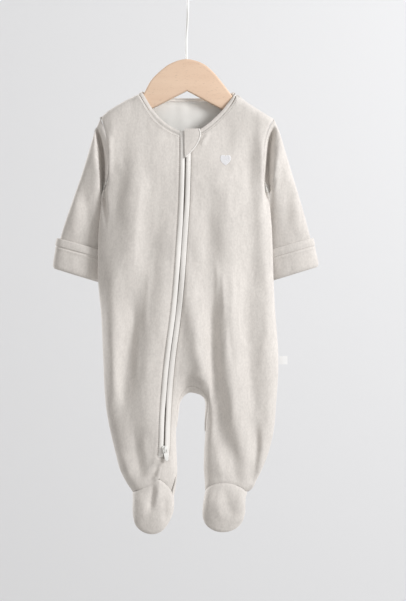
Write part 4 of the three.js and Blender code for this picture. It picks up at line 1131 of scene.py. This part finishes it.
make_teeth()
HEART = make_motif()
ALLOWANCE = make_seam_allowance()
PIPING = make_guard_piping()
make_ankle_piece()
moulded_copy("zip_slider", "garment", 0.3)
moulded_copy("zip_pull_tab", "pull_tab", 0.2)
# The outer rows of stitches beside the zip, in the darker thread that carries the seams' painted shade.
ZIP_STITCHES = stitches("zip_stitches", zip_rows(7.6, (-176, -204), -573, 0.05), "seam_thread", 2.4, 1.6)
STRIP_STITCHES = stitches("strip_stitches", zip_rows(5.4, (-178, -206), -572, 0.1), "thread", 2.6, 1.8,
                          0.2, 0.16)
# The neck's stitches, in the same darker thread with the seams' painted shade.
NECK_STITCHES = [
    stitches("neck_stitches_right", [neck_line(FRONT, NECK_RIGHT)], "seam_thread", 2.2, 1.5, 0.24, 0.2),
    stitches("neck_stitches_left", [neck_line(FRONT, NECK_LEFT)], "seam_thread", 2.2, 1.5, 0.24, 0.2),
    stitches("neck_stitches_back", [neck_line(BACK, NECK_BACK)], "seam_thread", 2.2, 1.5, 0.24, 0.2),
]


# The hanger

# The wood's outline from the viewer's left to the right, and back along its foot, and half its thickness.
HANGER_TOP = [
    (-91.4, -151.5), (-89.6, -145.4), (-84, -139.4), (-76.2, -134.2), (-62, -126.4), (-57.5, -124),
    (-53.4, -119.6), (-45.4, -105), (-33, -92.3), (-20.6, -83.4), (-1, -77.8), (18.6, -82.8),
    (30.1, -91.3), (43.5, -106.6), (54, -120.4), (58.5, -125.4), (63, -127.9), (74, -135.2),
    (86, -143), (91.6, -149), (93, -156),
]
HANGER_FOOT = [(89, -162.6), (82, -161.4), (0, -117.6), (-80, -158.4), (-87.5, -158.6)]
HANGER_HALF = 4.8
# The hook's wire from the wood up to the start of its bend, which is round.
HOOK = [(-0.6, 0, -79.5), (-0.6, 0, -77.2), (-0.6, 0, -62), (-0.6, 0, -50), (-0.2, -2.2, -41.5),
        (0.5, -7, -33)]
HOOK_RADIUS = 16
WIRE_RADIUS = 1.5


def make_wood():
    """The hanger's wooden body: its outline drawn through its thickness, with rounded edges."""
    top = curve_through([(x, 0, z) for x, z in HANGER_TOP], 5)
    outline = [p * MM for p in top] + [Vector((x, 0, z)) * MM for x, z in HANGER_FOOT]
    bm = bmesh.new()
    ring = [bm.verts.new(p + Vector((0, -HANGER_HALF * MM, 0))) for p in outline]
    face = bm.faces.new(ring)
    grown = bmesh.ops.extrude_face_region(bm, geom=[face])["geom"]
    for v in grown:
        if isinstance(v, bmesh.types.BMVert):
            v.co.y = HANGER_HALF * MM
    bmesh.ops.recalc_face_normals(bm, faces=bm.faces)
    obj = bevelled(object_of("hanger_body", mesh_from(bm, "hanger_body")), 2.4, 5, 60)
    smooth_shaded(obj.data, 35)
    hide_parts("hanger_wood")
    return dressed(obj, "wood")


def make_hook():
    """The hook's wire, thinner where it enters the wood and rounded at its tip."""
    points = list(HOOK)
    centre = WIRE_RADIUS - HOOK_RADIUS
    for degrees in range(212, -25, -15):
        angle = math.radians(degrees)
        points.append((1, HOOK_RADIUS * math.cos(angle), centre + HOOK_RADIUS * math.sin(angle)))
    line = [p * MM for p in curve_through(points, 5)]
    shares = [0.9] + [1] * (len(line) - 3) + [0.95, 0.6]
    radii = [share * WIRE_RADIUS for share in shares]
    hook = round_length("hook_wire", line, radii, "wire")
    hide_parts("hanger_hook")


make_wood()
make_hook()

# The stage, the lights and the camera

LIT = Vector((0, 0, -0.4))     # where all the lights look
# Each light's place, size, power and colour.
LIGHTS = {
    "key": ((1.75, -1.2, 0.5), 0.75, 45, (0.985, 0.99, 1)),
    "fill": ((-1.5, -2.2, 0.1), 1.8, 2, (0.98, 0.99, 1)),
    "rear": ((-1.9, 1.5, 0.5), 1.0, 45, (0.985, 0.99, 1)),
}


def wall_paint():
    """Matt paint. From behind the wall is clear, so that the garment's back is lit and can be looked at."""
    s = Shader("wall_paint")
    s.surface.inputs["Base Color"].default_value = (0.79, 0.80, 0.82, 1)
    s.surface.inputs["Roughness"].default_value = 0.9
    behind, shadow = s.add("NewGeometry").outputs["Backfacing"], s.add("LightPath").outputs["Is Shadow Ray"]
    clear = s.maths("MAXIMUM", behind, shadow)
    mix = s.add("MixShader")
    s.join(clear, mix.inputs["Fac"])
    s.join(s.surface.outputs[0], mix.inputs[1])
    s.join(s.add("BsdfTransparent").outputs[0], mix.inputs[2])
    s.join(mix.outputs[0], s.tree.nodes["Material Output"].inputs["Surface"])
    return s.material


def make_stage():
    """A pale wall behind."""
    bm = bmesh.new()
    away = Matrix.Translation((0, 0.6, 0)) @ Matrix.Rotation(math.pi / 2, 4, "X")
    bmesh.ops.create_grid(bm, x_segments=1, y_segments=1, size=4, matrix=away)
    wall = object_of("wall", mesh_from(bm, "wall"))
    wall.data.materials.append(wall_paint())


def make_light(name, place, size, power, colour):
    data = bpy.data.lights.new(name, "AREA")
    data.shape = "DISK"
    data.size = size
    data.energy = power
    data.color = colour
    obj = bpy.data.objects.new(name, data)
    obj.location = place
    obj.rotation_euler = (LIT - Vector(place)).to_track_quat("-Z", "Y").to_euler()
    bpy.context.collection.objects.link(obj)


def make_camera():
    data = bpy.data.cameras.new("camera")
    data.sensor_fit = "HORIZONTAL"
    data.sensor_width = SENSOR
    data.lens = SENSOR * CAMERA_AWAY / (PICTURE_WIDTH * PX)
    data.clip_end = 30
    obj = bpy.data.objects.new("camera", data)
    obj.location = MIDDLE + Vector((0, -CAMERA_AWAY, 0))
    obj.rotation_euler = (math.pi / 2, 0, 0)
    bpy.context.collection.objects.link(obj)
    bpy.context.scene.camera = obj


def make_world():
    world = bpy.data.worlds.new("studio")
    world.use_nodes = True
    background = world.node_tree.nodes["Background"]
    background.inputs["Color"].default_value = (1.0, 0.975, 0.945, 1)
    background.inputs["Strength"].default_value = 0.54
    bpy.context.scene.world = world


make_stage()
make_world()
for light, values in LIGHTS.items():
    make_light(light, *values)
make_camera()
bpy.context.scene.view_settings.view_transform = "Standard"
